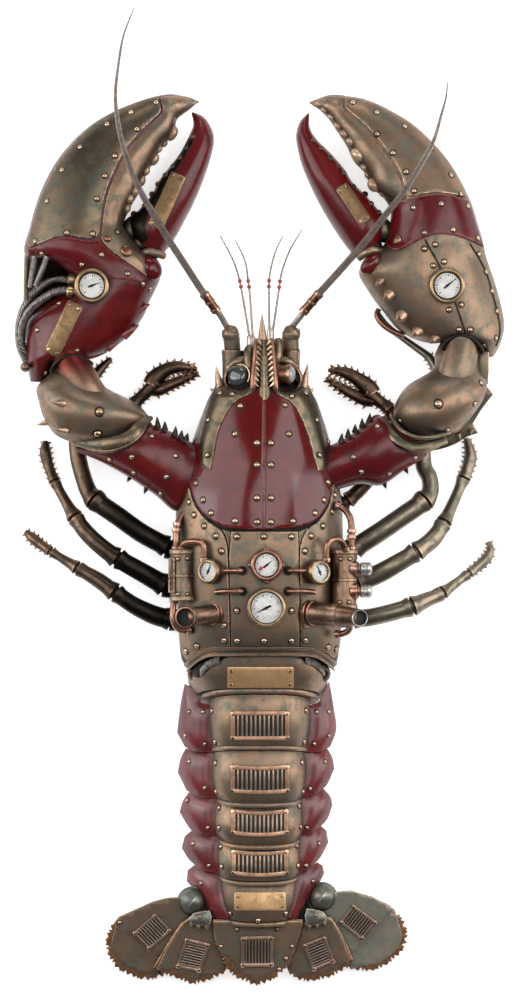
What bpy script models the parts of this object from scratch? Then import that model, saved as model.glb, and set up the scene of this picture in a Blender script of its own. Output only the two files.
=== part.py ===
"""Steampunk lobster sculpture in bronze, red enamel, copper and brass.

It lies belly down with its head towards +Y. Plan points are in millimetres on a drawing of the
sculpture seen from above, heights are in millimetres above the table, and at() turns both into
metres, with the origin under the middle of the whole sculpture.
"""

from math import cos, pi, radians, sin

import bmesh
import bpy
from mathutils import Matrix, Vector

MM = 0.001
# Middle of the drawing, which becomes the origin.
MIDDLE = (-5.5, 1.5)
# Air left between two pieces that touch.
GAP = 0.3 * MM
# Sides of the rounded bodies, of the legs and tubes, and of the thin whiskers.
BODY_SIDES = 16
CLAW_SIDES = 12
TUBE_SIDES = 8
WHISKER_SIDES = 6
# Sides of the eyes and of the dial gauges.
EYE_SIDES = 12
GAUGE_SIDES = 12
# Depth of the chord that flattens a belly, as a share of the section's radius.
BELLY_CUT = 0.71
# The same for the tail rings, which have upright sides.
RING_CUT = sin(pi / BODY_SIDES)
# Thickness of the enamelled head shields, of the red side plates and of the fan's blades.
SHIELD_THICKNESS = 2.6
SIDE_PLATE_THICKNESS = 4.0
FIN_THICKNESS = 4.0
TELSON_THICKNESS = 5.0


def clear_scene():
    for obj in list(bpy.data.objects):
        bpy.data.objects.remove(obj, do_unlink=True)


def metal(name, colour, roughness, metallic):
    material = bpy.data.materials.new(name)
    material.use_nodes = True
    shader = material.node_tree.nodes["Principled BSDF"]
    shader.inputs["Base Color"].default_value = (*colour, 1.0)
    shader.inputs["Roughness"].default_value = roughness
    shader.inputs["Metallic"].default_value = metallic
    material.diffuse_color = (*colour, 1.0)
    return material


def at(x, y, z=0.0):
    """A plan point and a height, in millimetres, as a point in metres."""
    return Vector((x - MIDDLE[0], y - MIDDLE[1], z)) * MM


def section(sides, cut=1.0):
    """Points of a ring two units wide and high, its lowest part flattened by a chord at -cut."""
    angles = [(step + 0.5) * 2 * pi / sides - pi / 2 for step in range(sides)]
    heights = [max(sin(angle), -cut) for angle in angles]
    widest = max(cos(angle) for angle in angles)
    low, high = min(heights), max(heights)
    points = []
    for angle, height in zip(angles, heights):
        points.append((cos(angle) / widest, (2 * height - low - high) / (high - low)))
    return points


BELLY_BODY = section(BODY_SIDES, BELLY_CUT)
BELLY_CLAW = section(CLAW_SIDES, BELLY_CUT)
ROUND_CLAW = section(CLAW_SIDES)
RING_BODY = section(BODY_SIDES, RING_CUT)
ROUND_TUBE = section(TUBE_SIDES)
ROUND_WHISKER = section(WHISKER_SIDES)


def rib(left, right, low, high, lean=0.0):
    """A cross-section between two plan points, its top moved towards the head by lean."""
    bottom = (at(*left, low) + at(*right, low)) / 2
    top = (at(*left, high) + at(*right, high)) / 2 + Vector((0.0, lean * MM, 0.0))
    across = (at(*right) - at(*left)) / 2
    return (bottom + top) / 2, across, (top - bottom) / 2


def tube_ribs(path):
    """Cross-sections square to a path of (x, y, height, radius)."""
    points = [at(*stop[:3]) for stop in path]
    ribs = []
    for index, point in enumerate(points):
        before = points[max(index - 1, 0)]
        after = points[min(index + 1, len(points) - 1)]
        forward = (after - before).normalized()
        side = forward.cross(Vector((0.0, 0.0, 1.0)))
        if side.length < 0.01:
            side = Vector((0.0, 1.0, 0.0))
        across = side.normalized() * path[index][3] * MM
        up = across.cross(forward)
        ribs.append((point, across, up))
    return ribs


def face_outwards(bm):
    """Turns every face outwards; a dished shape can come out of the recalculation inside out."""
    bmesh.ops.recalc_face_normals(bm, faces=bm.faces)
    if bm.calc_volume(signed=True) < 0:
        bmesh.ops.reverse_faces(bm, faces=bm.faces)


def ring_edges(bm, ring):
    return [bm.edges.get((ring[index - 1], vert)) for index, vert in enumerate(ring)]


def extend(bm, ring):
    """Extrudes a ring of vertices, and gives the new ring in the same order."""
    made = bmesh.ops.extrude_edge_only(bm, edges=ring_edges(bm, ring))["geom"]
    fresh = {item for item in made if isinstance(item, bmesh.types.BMVert)}
    following = []
    for vert in ring:
        ends = [edge.other_vert(vert) for edge in vert.link_edges]
        following.append(next(end for end in ends if end in fresh))
    return following


def loft(ribs, points):
    """A closed solid through cross-sections that share one section shape."""
    bm = bmesh.new()
    ring = bmesh.ops.create_circle(bm, segments=len(points), radius=1.0)["verts"]
    first = ring
    for index, (centre, across, up) in enumerate(ribs):
        if index:
            ring = extend(bm, ring)
        for vert, (u, v) in zip(ring, points):
            vert.co = centre + u * across + v * up
    for end in (first, ring):
        bmesh.ops.edgeloop_fill(bm, edges=ring_edges(bm, end))
    face_outwards(bm)
    return bm


def row_loft(rows, points):
    """A loft through ribs given as rows of numbers."""
    return loft([rib(*row) for row in rows], points)


def turned(foot, axis, profile, sides):
    """A turned solid on an axis, from a profile of (distance along the axis, radius)."""
    axis = axis.normalized()
    side = axis.cross(Vector((0.0, 1.0, 0.0))).normalized()
    up = side.cross(axis)
    ribs = []
    for distance, radius in profile:
        ribs.append((foot + axis * distance * MM, side * radius * MM, up * radius * MM))
    return loft(ribs, section(sides))


def plate(outline, height, thickness, folds=()):
    """A plate with a plan outline, a top surface at height(x, y) and folds at given x."""
    bm = bmesh.new()
    bm.faces.new([bm.verts.new((x, y, 0.0)) for x, y in outline])
    for fold in folds:
        geometry = bm.verts[:] + bm.edges[:] + bm.faces[:]
        bmesh.ops.bisect_plane(
            bm, geom=geometry, dist=0.01, plane_co=(fold, 0.0, 0.0), plane_no=(1.0, 0.0, 0.0)
        )
    bmesh.ops.triangulate(bm, faces=bm.faces)
    for vert in bm.verts:
        x, y = vert.co.xy
        vert.co = at(x, y, height(x, y))
    bmesh.ops.recalc_face_normals(bm, faces=bm.faces)
    made = bmesh.ops.extrude_face_region(bm, geom=bm.faces[:])["geom"]
    lowered = [item for item in made if isinstance(item, bmesh.types.BMVert)]
    bmesh.ops.translate(bm, verts=lowered, vec=(0.0, 0.0, -thickness * MM))
    face_outwards(bm)
    return bm


def piece(name, bm, material, root):
    """An object with its origin at root, in metres, its faces split so that copies bend alike."""
    bmesh.ops.triangulate(bm, faces=bm.faces)
    bmesh.ops.translate(bm, verts=bm.verts, vec=-root)
    mesh = bpy.data.meshes.new(name)
    bm.to_mesh(mesh)
    bm.free()
    obj = bpy.data.objects.new(name, mesh)
    obj.location = root
    bpy.context.scene.collection.objects.link(obj)
    if material is not None:
        mesh.materials.append(material)
    return obj


def apply_boolean(obj, tool, operation):
    """Joins, cuts or crosses obj with tool, and removes tool."""
    change = obj.modifiers.new(operation.title(), "BOOLEAN")
    change.operation = operation
    change.solver = "EXACT"
    change.object = tool
    graph = bpy.context.evaluated_depsgraph_get()
    mesh = bpy.data.meshes.new_from_object(obj.evaluated_get(graph))
    obj.modifiers.clear()
    mesh.name = obj.name
    obj.data = mesh
    bpy.data.objects.remove(tool, do_unlink=True)


def grown(obj, amount):
    """A copy of obj with every wall moved out by amount, in metres."""
    bm = bmesh.new()
    bm.from_mesh(obj.data)
    bmesh.ops.remove_doubles(bm, verts=bm.verts, dist=0.02 * MM)
    bm.normal_update()
    moves = [vert.normal * amount * min(vert.calc_shell_factor(), 3.0) for vert in bm.verts]
    for vert, move in zip(bm.verts, moves):
        vert.co += move
    bmesh.ops.translate(bm, verts=bm.verts, vec=obj.location)
    return piece(obj.name + "_tool", bm, None, obj.location.copy())


def fit(obj, *others):
    """Cuts obj back to a small gap wherever it would enter the others."""
    for other in others:
        apply_boolean(obj, grown(other, GAP), "DIFFERENCE")


def fuse(obj, bm):
    apply_boolean(obj, piece("addition", bm, None, obj.location.copy()), "UNION")


def spike(obj, base, tip, radius):
    """A pointed cone fused to obj, its base sunk into it."""
    path = [(*base, radius), (*tip, 0.5)]
    fuse(obj, loft(tube_ribs(path), ROUND_WHISKER))


def shade(obj):
    obj.data.shade_smooth()
    obj.data.set_sharp_from_angle(angle=radians(35))


# Barrel of the carapace, from the nose to the rear: y, left x, right x, belly, top.
THORAX_STATIONS = [
    (150, -19, 13, 34, 68),
    (137, -24, 17, 30, 74),
    (125, -41, 34, 22, 80),
    (112, -52, 45, 14, 87),
    (85, -63, 57, 5, 97),
    (50, -75, 67, 0, 106),
    (15, -86, 75, 0, 111),
    (-30, -91, 78, 0, 113),
    (-80, -90, 78, 0, 112),
    (-129, -87, 76, 0, 106),
    (-148, -82, 73, 0, 99),
]


def thorax_ribs(extra=0.0):
    """The carapace's cross-sections, every wall moved out by extra millimetres."""
    ribs = []
    for y, left, right, low, high in THORAX_STATIONS:
        ribs.append(rib((left - extra, y), (right + extra, y), low - extra, high + extra))
    return ribs


def make_thorax(bronze):
    return piece("thorax", loft(thorax_ribs(), BELLY_BODY), bronze, at(0, -30))


# Cheek spikes: base and tip.
CHEEK_SPIKES = [((-45, 114.5, 58), (-49, 134, 62)), ((38.5, 114.5, 58), (43, 137, 62))]
CHEEK_SPIKE_RADIUS = 5


def add_cheek_spikes(thorax):
    for base, tip in CHEEK_SPIKES:
        spike(thorax, base, tip, CHEEK_SPIKE_RADIUS)


# Lower edge of the head shields, from the seam out to the side.
SHIELD_EDGE_LEFT = [
    (-1.3, -29.5), (-15, -29), (-30, -28), (-42, -26), (-50, -22), (-58, -16), (-65, -8), (-70, 2),
    (-76, 20), (-80, 33), (-100, 40), (-100, 112), (-1.3, 112),
]
SHIELD_EDGE_RIGHT = [
    (-0.7, -29.5), (15, -28.5), (30, -27), (42, -24), (50, -19), (58, -10), (63, 0), (65, 18),
    (69, 35), (90, 42), (90, 112), (-0.7, 112),
]
SHIELD_LOWEST = 44
SHIELD_REACH = 120


def make_shield(name, outline, thorax, enamel):
    """A domed plate that follows the carapace, cut out by its outline."""
    shield = piece(name, loft(thorax_ribs(SHIELD_THICKNESS), BELLY_BODY), enamel, at(0, 40, 100))
    block = plate(outline, lambda x, y: SHIELD_REACH, SHIELD_REACH - SHIELD_LOWEST)
    apply_boolean(shield, piece("cutter", block, None, at(0, 40)), "INTERSECT")
    fit(shield, thorax)
    return shield


# Rostrum: left point, right point, lowest and highest height, from the forehead to the spike.
ROSTRUM = [
    ((-10, 113), (9, 113), 66, 92), ((-10, 140), (9, 140), 66, 90), ((-9, 158), (6, 158), 68, 86),
    ((-8, 163), (1, 163), 70, 83), ((-3.6, 186), (-2.4, 186), 75, 76.5),
]


def make_rostrum(thorax, bronze):
    """The beak between the eyes: a beam that runs out to a spike."""
    rostrum = piece("rostrum", row_loft(ROSTRUM, ROUND_TUBE), bronze, at(-1, 112, 80))
    fit(rostrum, thorax)
    return rostrum


# Rear rim: left point, right point, lowest and highest height, and lean of the top to the head.
REAR_RIM = [
    ((-83, -148.4), (74, -148.4), 0, 101, 0), ((-81, -154), (73, -152), 0, 102, 3),
    ((-77, -172), (69, -172), 0, 96, 15),
]


def make_rear_rim(bronze):
    """The flared lip behind the carapace, its sides reaching further back than its top."""
    return piece("rear_rim", row_loft(REAR_RIM, BELLY_BODY), bronze, at(-4, -150))


# Eyes: foot, direction of view, and profile of (distance along it, radius).
EYES = {
    "eye_left": ((-22, 123, 72), (-0.55, 0.25, 0.8), [(-8, 9), (6, 11), (10, 8), (12, 3)]),
    "eye_right": ((12, 124, 74), (1.0, 0.05, 0.35), [(-4, 8), (12, 9), (19, 8.5), (21, 3)]),
}


def make_eyes(thorax, rostrum, sockets, glass):
    """A domed lens on the left and a short barrel with a lens on the right."""
    for name, (foot, view, profile) in EYES.items():
        lens = turned(at(*foot), Vector(view), profile, EYE_SIDES)
        eye = piece(name, lens, glass, at(*foot))
        fit(eye, thorax, rostrum, *sockets)


SOCKET_PATHS = {
    "left": [(-30, 112, 45, 10), (-32.5, 149, 46, 10.5), (-33, 150, 46, 8.5), (-36, 172, 50, 7)],
    "right": [(24, 112, 45, 9), (25, 149, 46, 8), (24, 150, 46, 9.5), (27, 172, 50, 7)],
}
ANTENNA_PATHS = {
    "left": [
        (-35, 168, 49, 4), (-45, 185, 56, 4), (-55, 197, 62, 5), (-65, 212, 69, 4), (-80, 235, 77, 4),
        (-95, 258, 84, 4), (-108, 280, 89, 3.8), (-120, 300, 93, 3.6), (-131, 322, 97, 3.4),
        (-139, 345, 101, 3.1), (-144, 365, 104, 2.9), (-148, 386, 107, 2.6), (-149, 407, 111, 2.4),
        (-146, 434, 116, 2.1), (-141, 462, 122, 1.7), (-130.4, 489.6, 130, 1.2),
    ],
    "right": [
        (25, 168, 49, 4), (35, 184, 56, 4), (45, 197, 62, 5), (60, 213, 69, 4), (80, 235, 77, 4),
        (100, 258, 84, 4), (120, 284, 91, 3.7), (140, 310, 96, 3.3), (155, 334, 101, 2.9),
        (168, 358, 107, 2.5), (176, 385, 114, 2.0), (180, 400, 118, 1.6), (182, 416, 122, 1.2),
    ],
}


def make_antennae(thorax, bronze, steel):
    sockets = []
    for side, path in SOCKET_PATHS.items():
        ribs = tube_ribs(path)
        socket = piece(f"antenna_socket_{side}", loft(ribs, ROUND_CLAW), bronze, ribs[0][0])
        fit(socket, thorax)
        sockets.append(socket)
        ribs = tube_ribs(ANTENNA_PATHS[side])
        antenna = piece(f"antenna_{side}", loft(ribs, ROUND_WHISKER), steel, ribs[0][0])
        fit(antenna, socket)
    return sockets


FEELER_ROOTS = {
    "left": [(-13.5, 138, 56, 5), (-13.5, 164, 59, 4)],
    "right": [(5.5, 138, 56, 5), (5.5, 169, 59, 4)],
}
FEELER_PATHS = {
    "left": [
        [(-15, 160, 60, 1.4), (-21, 196, 66, 1.3), (-26, 222, 71, 1.2), (-33, 242, 76, 1),
         (-45, 264, 82, 0.7)],
        [(-12, 160, 60, 1.4), (-15, 204, 67, 1.3), (-17, 220, 70, 1.2), (-20, 239, 74, 1),
         (-30, 260, 80, 0.7)],
    ],
    "right": [
        [(4.5, 164, 60, 1.4), (4, 204, 67, 1.3), (4.5, 224, 70, 1.2), (10, 247, 76, 1), (18, 264, 82, 0.7)],
        [(7, 164, 60, 1.4), (13, 204, 68, 1.3), (16.6, 227, 72, 1.2), (25, 250, 77, 1), (37, 270, 84, 0.7)],
    ],
}


def make_feelers(thorax, rostrum, steel):
    """Each side has a short root that forks into two whiskers."""
    for side, root in FEELER_ROOTS.items():
        feeler = piece(f"feelers_{side}", loft(tube_ribs(root), ROUND_TUBE), steel, at(*root[0][:3]))
        for path in FEELER_PATHS[side]:
            fuse(feeler, loft(tube_ribs(path), ROUND_WHISKER))
        fit(feeler, thorax, rostrum)


# Height of the carapace's crown under the dials.
CROWN = 110
# Gauges: foot, axis, radius of the bezel, depth of the case under the foot, height over it.
GAUGES = {
    "gauge_upper": ((1.5, -65, CROWN), (0, 0, 1), 16, 6, 9),
    "gauge_lower": ((1.5, -107.5, CROWN - 3), (0, 0, 1), 19.6, 8, 12),
    "gauge_left": ((-50, -71, 98), (-0.66, 0, 0.75), 12, 12, 17),
    "gauge_right": ((48, -72, 98), (0.66, 0, 0.75), 12, 14, 17),
}


def gauge_profile(radius, foot, height):
    """Case, bezel and sunk dial, from the foot up."""
    return [
        (-foot, radius * 0.88),
        (height - 5, radius * 0.88),
        (height - 5, radius),
        (height - 1.5, radius),
        (height, radius * 0.93),
        (height, radius * 0.78),
        (height - 2, radius * 0.74),
    ]


def make_gauges(thorax, brass):
    for name, (foot, axis, radius, sunk, height) in GAUGES.items():
        profile = gauge_profile(radius, sunk, height)
        gauge = turned(at(*foot), Vector(axis), profile, GAUGE_SIDES)
        fit(piece(name, gauge, brass, at(*foot)), thorax)


# Exhausts: x, y, height, radius; each path ends down inside its bore.
EXHAUSTS = {
    "exhaust_left": [
        (-44, -113, 86, 12), (-55, -114, 96, 12), (-65, -115, 103, 11.5), (-73, -116, 108, 11),
        (-79, -117, 116, 11), (-79, -117, 117, 9.2), (-75, -116.4, 110, 9), (-66, -115.2, 104, 9),
    ],
    "exhaust_right": [
        (40, -112, 86, 12), (53, -113, 96, 12), (68, -114.5, 100, 11), (83, -116, 102, 9.5),
        (92, -117.3, 107, 8.2), (95, -118, 116, 7.8), (95, -118, 117, 6.2), (91, -117.3, 108, 6),
        (84, -116.3, 104, 6),
    ],
}


def make_exhausts(thorax, copper):
    """Open stubs that leave the flanks and turn up."""
    made = []
    for name, path in EXHAUSTS.items():
        exhaust = piece(name, loft(tube_ribs(path), ROUND_CLAW), copper, at(*path[0][:3]))
        fit(exhaust, thorax)
        made.append(exhaust)
    return made


# Canisters: front end and length, radius of the end flanges and of the wall, flange width.
CANISTERS = {"canister_left": ((-82, -49, 80), 52), "canister_right": ((79, -49, 80), 60)}
CANISTER_FLANGE = 13.2
CANISTER_WALL = 11.8
FLANGE_WIDTH = 5
# Knobs on the right canister: profile of (distance outwards, radius) and their feet.
KNOB = [(0, 7), (13, 7), (13, 4.5), (19, 4.5), (20, 6.2), (27, 6.2), (28, 4.5)]
KNOB_FEET = [(79, -68.6, 84), (79, -91, 84)]


def make_canisters(thorax, exhausts, bronze):
    """Flanged cylinders along the shoulders; the right one carries two round knobs."""
    for (name, (front, length)), exhaust in zip(CANISTERS.items(), exhausts):
        x, y, z = front
        path = [
            (x, y, z, CANISTER_FLANGE),
            (x, y - FLANGE_WIDTH, z, CANISTER_FLANGE),
            (x, y - FLANGE_WIDTH, z, CANISTER_WALL),
            (x, y - length + FLANGE_WIDTH, z, CANISTER_WALL),
            (x, y - length + FLANGE_WIDTH, z, CANISTER_FLANGE),
            (x, y - length, z, CANISTER_FLANGE),
        ]
        canister = piece(name, loft(tube_ribs(path), ROUND_CLAW), bronze, at(*front))
        if name == "canister_right":
            for foot in KNOB_FEET:
                fuse(canister, turned(at(*foot), Vector((1.0, 0.0, 0.0)), KNOB, TUBE_SIDES))
        fit(canister, thorax, exhaust)


# Tail rings: left x, right x, top height, y of the ring's foot, and how far its plane leans towards
# the head for each millimetre of height, front to rear. Neighbours share a plane with air between.
TAIL_RINGS = {
    1: [(-66, 60, 86, -172.6, 0.156), (-77, 62, 83, -185, 0.11), (-68, 57, 77, -205, 0.156)],
    2: [(-57, 46, 71, -205.6, 0.156), (-58, 47.5, 73, -226, 0.06), (-55, 44, 69, -254, 0.058)],
    3: [(-54, 42, 64, -254.6, 0.058), (-56, 43.5, 67, -275, -0.06), (-50, 39, 62, -296, -0.194)],
    4: [(-52, 40, 57, -296.6, -0.194), (-54, 41, 60, -314, -0.25), (-49, 38, 55, -332, -0.336)],
    5: [(-50.5, 38, 51, -332.6, -0.336), (-51.5, 38.5, 53, -350, -0.35), (-48, 36, 48, -370, -0.354)],
    6: [(-49, 36, 44, -370.6, -0.354), (-46, 33.5, 45, -393, -0.33), (-40, 28, 39, -416, -0.31)],
}


def make_tail_rings(bronze):
    rings = {}
    for number, stations in TAIL_RINGS.items():
        ribs = []
        for left, right, top, foot_y, lean in stations:
            ribs.append(rib((left, foot_y), (right, foot_y), 0, top, lean * top))
        name = f"tail_ring_{number}"
        rings[number] = piece(name, loft(ribs, RING_BODY), bronze, ribs[0][0])
    return rings


SIDE_PLATES_LEFT = {
    2: [(-81, -184), (-85, -204), (-88.5, -233), (-81, -247), (-71, -252), (-50, -252), (-50, -206),
        (-64, -203), (-72, -190)],
    3: [(-80, -249), (-85, -259), (-88, -273), (-79, -291), (-66, -298), (-47, -298), (-50, -253)],
    4: [(-77, -293), (-83, -302), (-86, -313), (-76, -329), (-66, -336), (-45, -336), (-47, -299)],
    5: [(-74, -331), (-81, -337), (-84, -349), (-76, -361), (-64, -371), (-44, -374), (-45, -337)],
    6: [(-70, -365), (-78, -371), (-79, -382), (-64, -400), (-53, -419), (-37, -419), (-43, -376)],
}
SIDE_PLATES_RIGHT = {
    2: [(65, -182), (69, -206), (72, -229), (66, -247), (56, -252), (39, -252), (42, -206), (54, -203),
        (61, -188)],
    3: [(63, -249), (68, -258), (70, -269), (62, -286), (50, -296), (36, -298), (39, -253)],
    4: [(59, -289), (66, -297), (68, -306), (62, -321), (47, -335), (34, -336), (36, -299)],
    5: [(56, -326), (62, -331), (64, -343), (56, -358), (44, -370), (32, -373), (34, -337)],
    6: [(53, -363), (58, -366), (60, -374), (53, -387), (40, -404), (33, -419), (24, -419), (30, -376)],
}
# Height of a side plate at its fold, and its fall per millimetre inside and outside the fold.
PLATE_FOLD_HEIGHT = 32
PLATE_FALL_INSIDE = 0.45
PLATE_FALL_OUTSIDE = 0.85


def make_side_plates(rings, enamel):
    plates = {}
    for side, outlines in (("left", SIDE_PLATES_LEFT), ("right", SIDE_PLATES_RIGHT)):
        for number, outline in outlines.items():
            inner = min(abs(x - MIDDLE[0]) for x, y in outline)
            fold = inner + 18
            lift = (6 - number) * 1.5

            def height(x, y):
                reach = abs(x - MIDDLE[0]) - fold
                fall = PLATE_FALL_OUTSIDE if reach > 0 else PLATE_FALL_INSIDE
                return PLATE_FOLD_HEIGHT + lift - fall * reach

            fold_x = MIDDLE[0] + (fold if side == "right" else -fold)
            bm = plate(outline, height, SIDE_PLATE_THICKNESS, [fold_x])
            name = f"side_plate_{side}_{number}"
            made = piece(name, bm, enamel, at(*outline[0], height(*outline[0])))
            fit(made, rings[number], rings[number - 1])
            if number > 2:
                fit(made, plates[side, number - 1])
            plates[side, number] = made
    return plates


def ragged(points, depth):
    """The points of an outer edge with a notch of the given depth between each two."""
    edge = [points[0]]
    for before, after in zip(points, points[1:]):
        middle = (Vector(before) + Vector(after)) / 2
        along = (Vector(after) - Vector(before)).normalized()
        notch = middle + Vector((-along.y, along.x)) * depth
        edge.extend([tuple(notch), after])
    return edge


NOTCH = 2.5
TELSON_EDGE = [(-42, -463), (-33, -477), (-22, -482), (-10, -487), (2, -484), (13, -478), (24, -466)]
TELSON_ROOT = [(31, -448), (38, -425), (38, -420), (-52, -420), (-52, -430), (-48, -447)]
INNER_FIN_LEFT = (
    [(-112, -469), (-101, -476), (-88, -480), (-74, -486), (-58, -483), (-42, -476)],
    [(-36, -462), (-44, -440), (-50, -424), (-58, -416), (-72, -416), (-84, -424), (-96, -442)],
)
OUTER_FIN_LEFT = (
    [(-148, -418), (-157, -429), (-160.5, -444), (-157, -459), (-148, -471), (-134, -478), (-117, -482),
     (-98, -477)],
    [(-86, -450), (-72, -418), (-74, -398), (-95, -398), (-112, -402), (-130, -410)],
)
INNER_FIN_RIGHT = (
    [(25, -476), (38, -483), (54, -481.5), (70, -477), (82, -469), (88.5, -461)],
    [(76, -433), (66, -418), (50, -416), (38, -424), (33, -440), (20, -464)],
)
OUTER_FIN_RIGHT = (
    [(82, -470), (100, -473), (116, -470), (130, -461), (140, -450), (143.5, -436), (140, -421),
     (127, -407)],
    [(107, -397), (86, -391), (64, -393), (58, -408), (66, -430), (76, -450)],
)
# Where a blade's far edge lies, how much it rises for each millimetre forward, and the height of
# each blade's top at the far edge.
FAN_REAR = -480
FAN_RISE = 0.14
TELSON_TOP = 21
INNER_FIN_TOP = 14
OUTER_FIN_TOP = 7
# Ball joints fused to the outer fins.
BALLS = {"left": (-74, -404, 16), "right": (58.6, -397, 16)}
BALL_RADIUS = 12


def make_fan(rings, side_plates, bronze):
    """The telson lies over the inner fins, which lie over the outer fins with their ball joints."""

    def blade(name, outline, top, thickness):
        bm = plate(outline, lambda x, y: top + FAN_RISE * (y - FAN_REAR), thickness)
        return piece(name, bm, bronze, at(*outline[-1], top))

    def outline(parts):
        edge, root = parts
        return ragged(edge, NOTCH) + root

    telson = blade("telson", outline((TELSON_EDGE, TELSON_ROOT)), TELSON_TOP, TELSON_THICKNESS)
    fit(telson, rings[6], side_plates["left", 6], side_plates["right", 6])
    fins = {
        "left": (INNER_FIN_LEFT, OUTER_FIN_LEFT),
        "right": (INNER_FIN_RIGHT, OUTER_FIN_RIGHT),
    }
    for side, (inner_parts, outer_parts) in fins.items():
        outer = blade(f"outer_fin_{side}", outline(outer_parts), OUTER_FIN_TOP, FIN_THICKNESS)
        ball = bmesh.new()
        bmesh.ops.create_uvsphere(
            ball, u_segments=10, v_segments=6, radius=BALL_RADIUS * MM,
            matrix=Matrix.Translation(at(*BALLS[side])),
        )
        fuse(outer, ball)
        fit(outer, rings[6], side_plates[side, 6])
        inner = blade(f"inner_fin_{side}", outline(inner_parts), INNER_FIN_TOP, FIN_THICKNESS)
        fit(inner, outer, telson, rings[6], side_plates[side, 6])


# Upper arms: head-side point, tail-side point, lowest and highest height, body to elbow.
UPPER_ARMS = {
    "left": [
        ((-62, 54), (-74, -4), 40, 78), ((-76, 59), (-90, -11), 36, 80), ((-95, 69), (-110, 5), 34, 84),
        ((-119, 77), (-137, 23), 34, 86), ((-133, 74), (-166, 39), 36, 80),
        ((-152, 70), (-190, 49), 44, 68),
    ],
    "right": [
        ((56, 50), (66, 8), 40, 78), ((70, 57), (78, 12), 36, 80), ((88, 67), (96, 16), 34, 84),
        ((110, 85), (117, 15), 34, 86), ((122, 80), (140, 30), 36, 82), ((142, 74), (163, 45), 44, 68),
    ],
}
# Elbows: outer point, inner point, lowest and highest height, from the claw's neck to the arm.
ELBOWS = {
    "left": [
        ((-209, 142), (-187, 144), 22, 52), ((-214, 128), (-178, 127), 24, 66),
        ((-228, 113), (-158, 112), 30, 80), ((-226, 98), (-130, 97), 33, 91),
        ((-221, 82), (-117, 82), 33, 93), ((-209, 65), (-131, 62), 35, 84),
        ((-186, 55), (-150, 54), 44, 66),
    ],
    "right": [
        ((205, 160), (178, 162), 22, 54), ((213, 144), (170, 146), 24, 64),
        ((215, 129), (168, 131), 26, 72), ((222, 116), (143, 115), 32, 85),
        ((218, 100), (131, 98), 33, 92), ((207, 84), (129, 84), 33, 92), ((196, 70), (138, 71), 36, 84),
        ((182, 63), (155, 63), 46, 66),
    ],
}
# Palms with their fixed fingers: outer point, inner point, lowest and highest height.
PALMS = {
    "left": [
        ((-231, 118), (-214, 118), 16, 38), ((-238, 138), (-207, 139), 4, 56),
        ((-239, 152), (-174, 141), 0, 64), ((-238, 164), (-146, 156), 0, 68),
        ((-230, 183), (-124, 180), 0, 71), ((-213, 198), (-116, 198), 0, 72),
        ((-199, 210), (-109, 212), 0, 72), ((-197, 224), (-105, 224), 0, 72),
        ((-215, 239), (-111, 239), 0, 72), ((-240.5, 246), (-127, 256), 0, 71),
        ((-235, 275), (-141, 274), 2, 68), ((-225, 308), (-135, 292), 3, 64),
        ((-209, 339), (-127, 306), 5, 60), ((-190, 362), (-121, 321), 7, 56),
        ((-171, 378), (-111, 340), 8, 52), ((-150, 390), (-103, 354), 10, 48),
        ((-130, 398), (-91, 368), 12, 44), ((-110, 404.5), (-88, 381), 14, 40),
        ((-90, 406.5), (-77, 391), 17, 35), ((-66.5, 399.6), (-66, 398.4), 24, 26),
    ],
    "right": [
        ((232, 150), (217, 148), 16, 40), ((237, 159), (205, 162), 4, 56), ((240, 172), (166, 157), 0, 64),
        ((238, 188), (137, 168), 0, 68), ((234, 205), (118, 189), 0, 71), ((228, 225), (103, 210), 0, 72),
        ((222, 242), (94, 228), 0, 72), ((219.5, 253), (105, 243), 0, 72), ((217, 264), (120, 257), 0, 72),
        ((213, 277), (124, 272), 0, 71), ((208, 294), (126, 289), 1, 68), ((199, 314), (118, 303), 3, 64),
        ((187, 335), (106, 313), 5, 60), ((171, 355), (100, 327), 7, 56), ((150, 375), (89, 339), 8, 52),
        ((128, 389), (82, 354), 10, 48), ((105, 400), (73, 368), 12, 44), ((85, 404.5), (64, 381), 14, 40),
        ((65, 406), (54, 391), 17, 35), ((44.6, 398.8), (44, 397.6), 24, 26),
    ],
}
# Moving-finger shapes, fixed here, in the same form as the palms.
FINGERS = {
    "left": [
        ((-104, 243), (-132, 262), 18, 54), ((-92, 259), (-138, 278), 9, 60),
        ((-80, 280), (-127, 290), 8, 60), ((-69, 302), (-114, 305), 9, 58),
        ((-61, 322), (-107, 319), 10, 55), ((-55, 340), (-97, 332), 11, 51),
        ((-51, 358), (-84, 349), 13, 46), ((-53, 371), (-76, 365), 15, 41),
        ((-61, 383.5), (-72, 376), 18, 35), ((-72.6, 388.6), (-73.6, 387.4), 25, 27),
    ],
    "right": [
        ((90, 243), (118, 261), 18, 54), ((78, 258), (121, 281), 9, 60), ((65, 278), (113, 291), 8, 60),
        ((53, 299), (102, 304), 9, 58), ((43, 320), (88, 318), 10, 55), ((37, 335), (79, 332), 11, 51),
        ((33, 350), (66, 347), 13, 46), ((31, 365), (52, 361), 15, 41), ((35, 379), (45, 373), 18, 35),
        ((43.4, 387.6), (44.4, 386.4), 25, 27),
    ],
}


# Spikes on the elbows: base and tip.
ELBOW_SPIKES = {
    "left": [((-212, 78, 58), (-228, 75, 56))],
    "right": [((208, 96, 58), (229, 105, 56)), ((196, 78, 58), (214, 69.5, 56))],
}
ELBOW_SPIKE_RADIUS = 6


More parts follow.
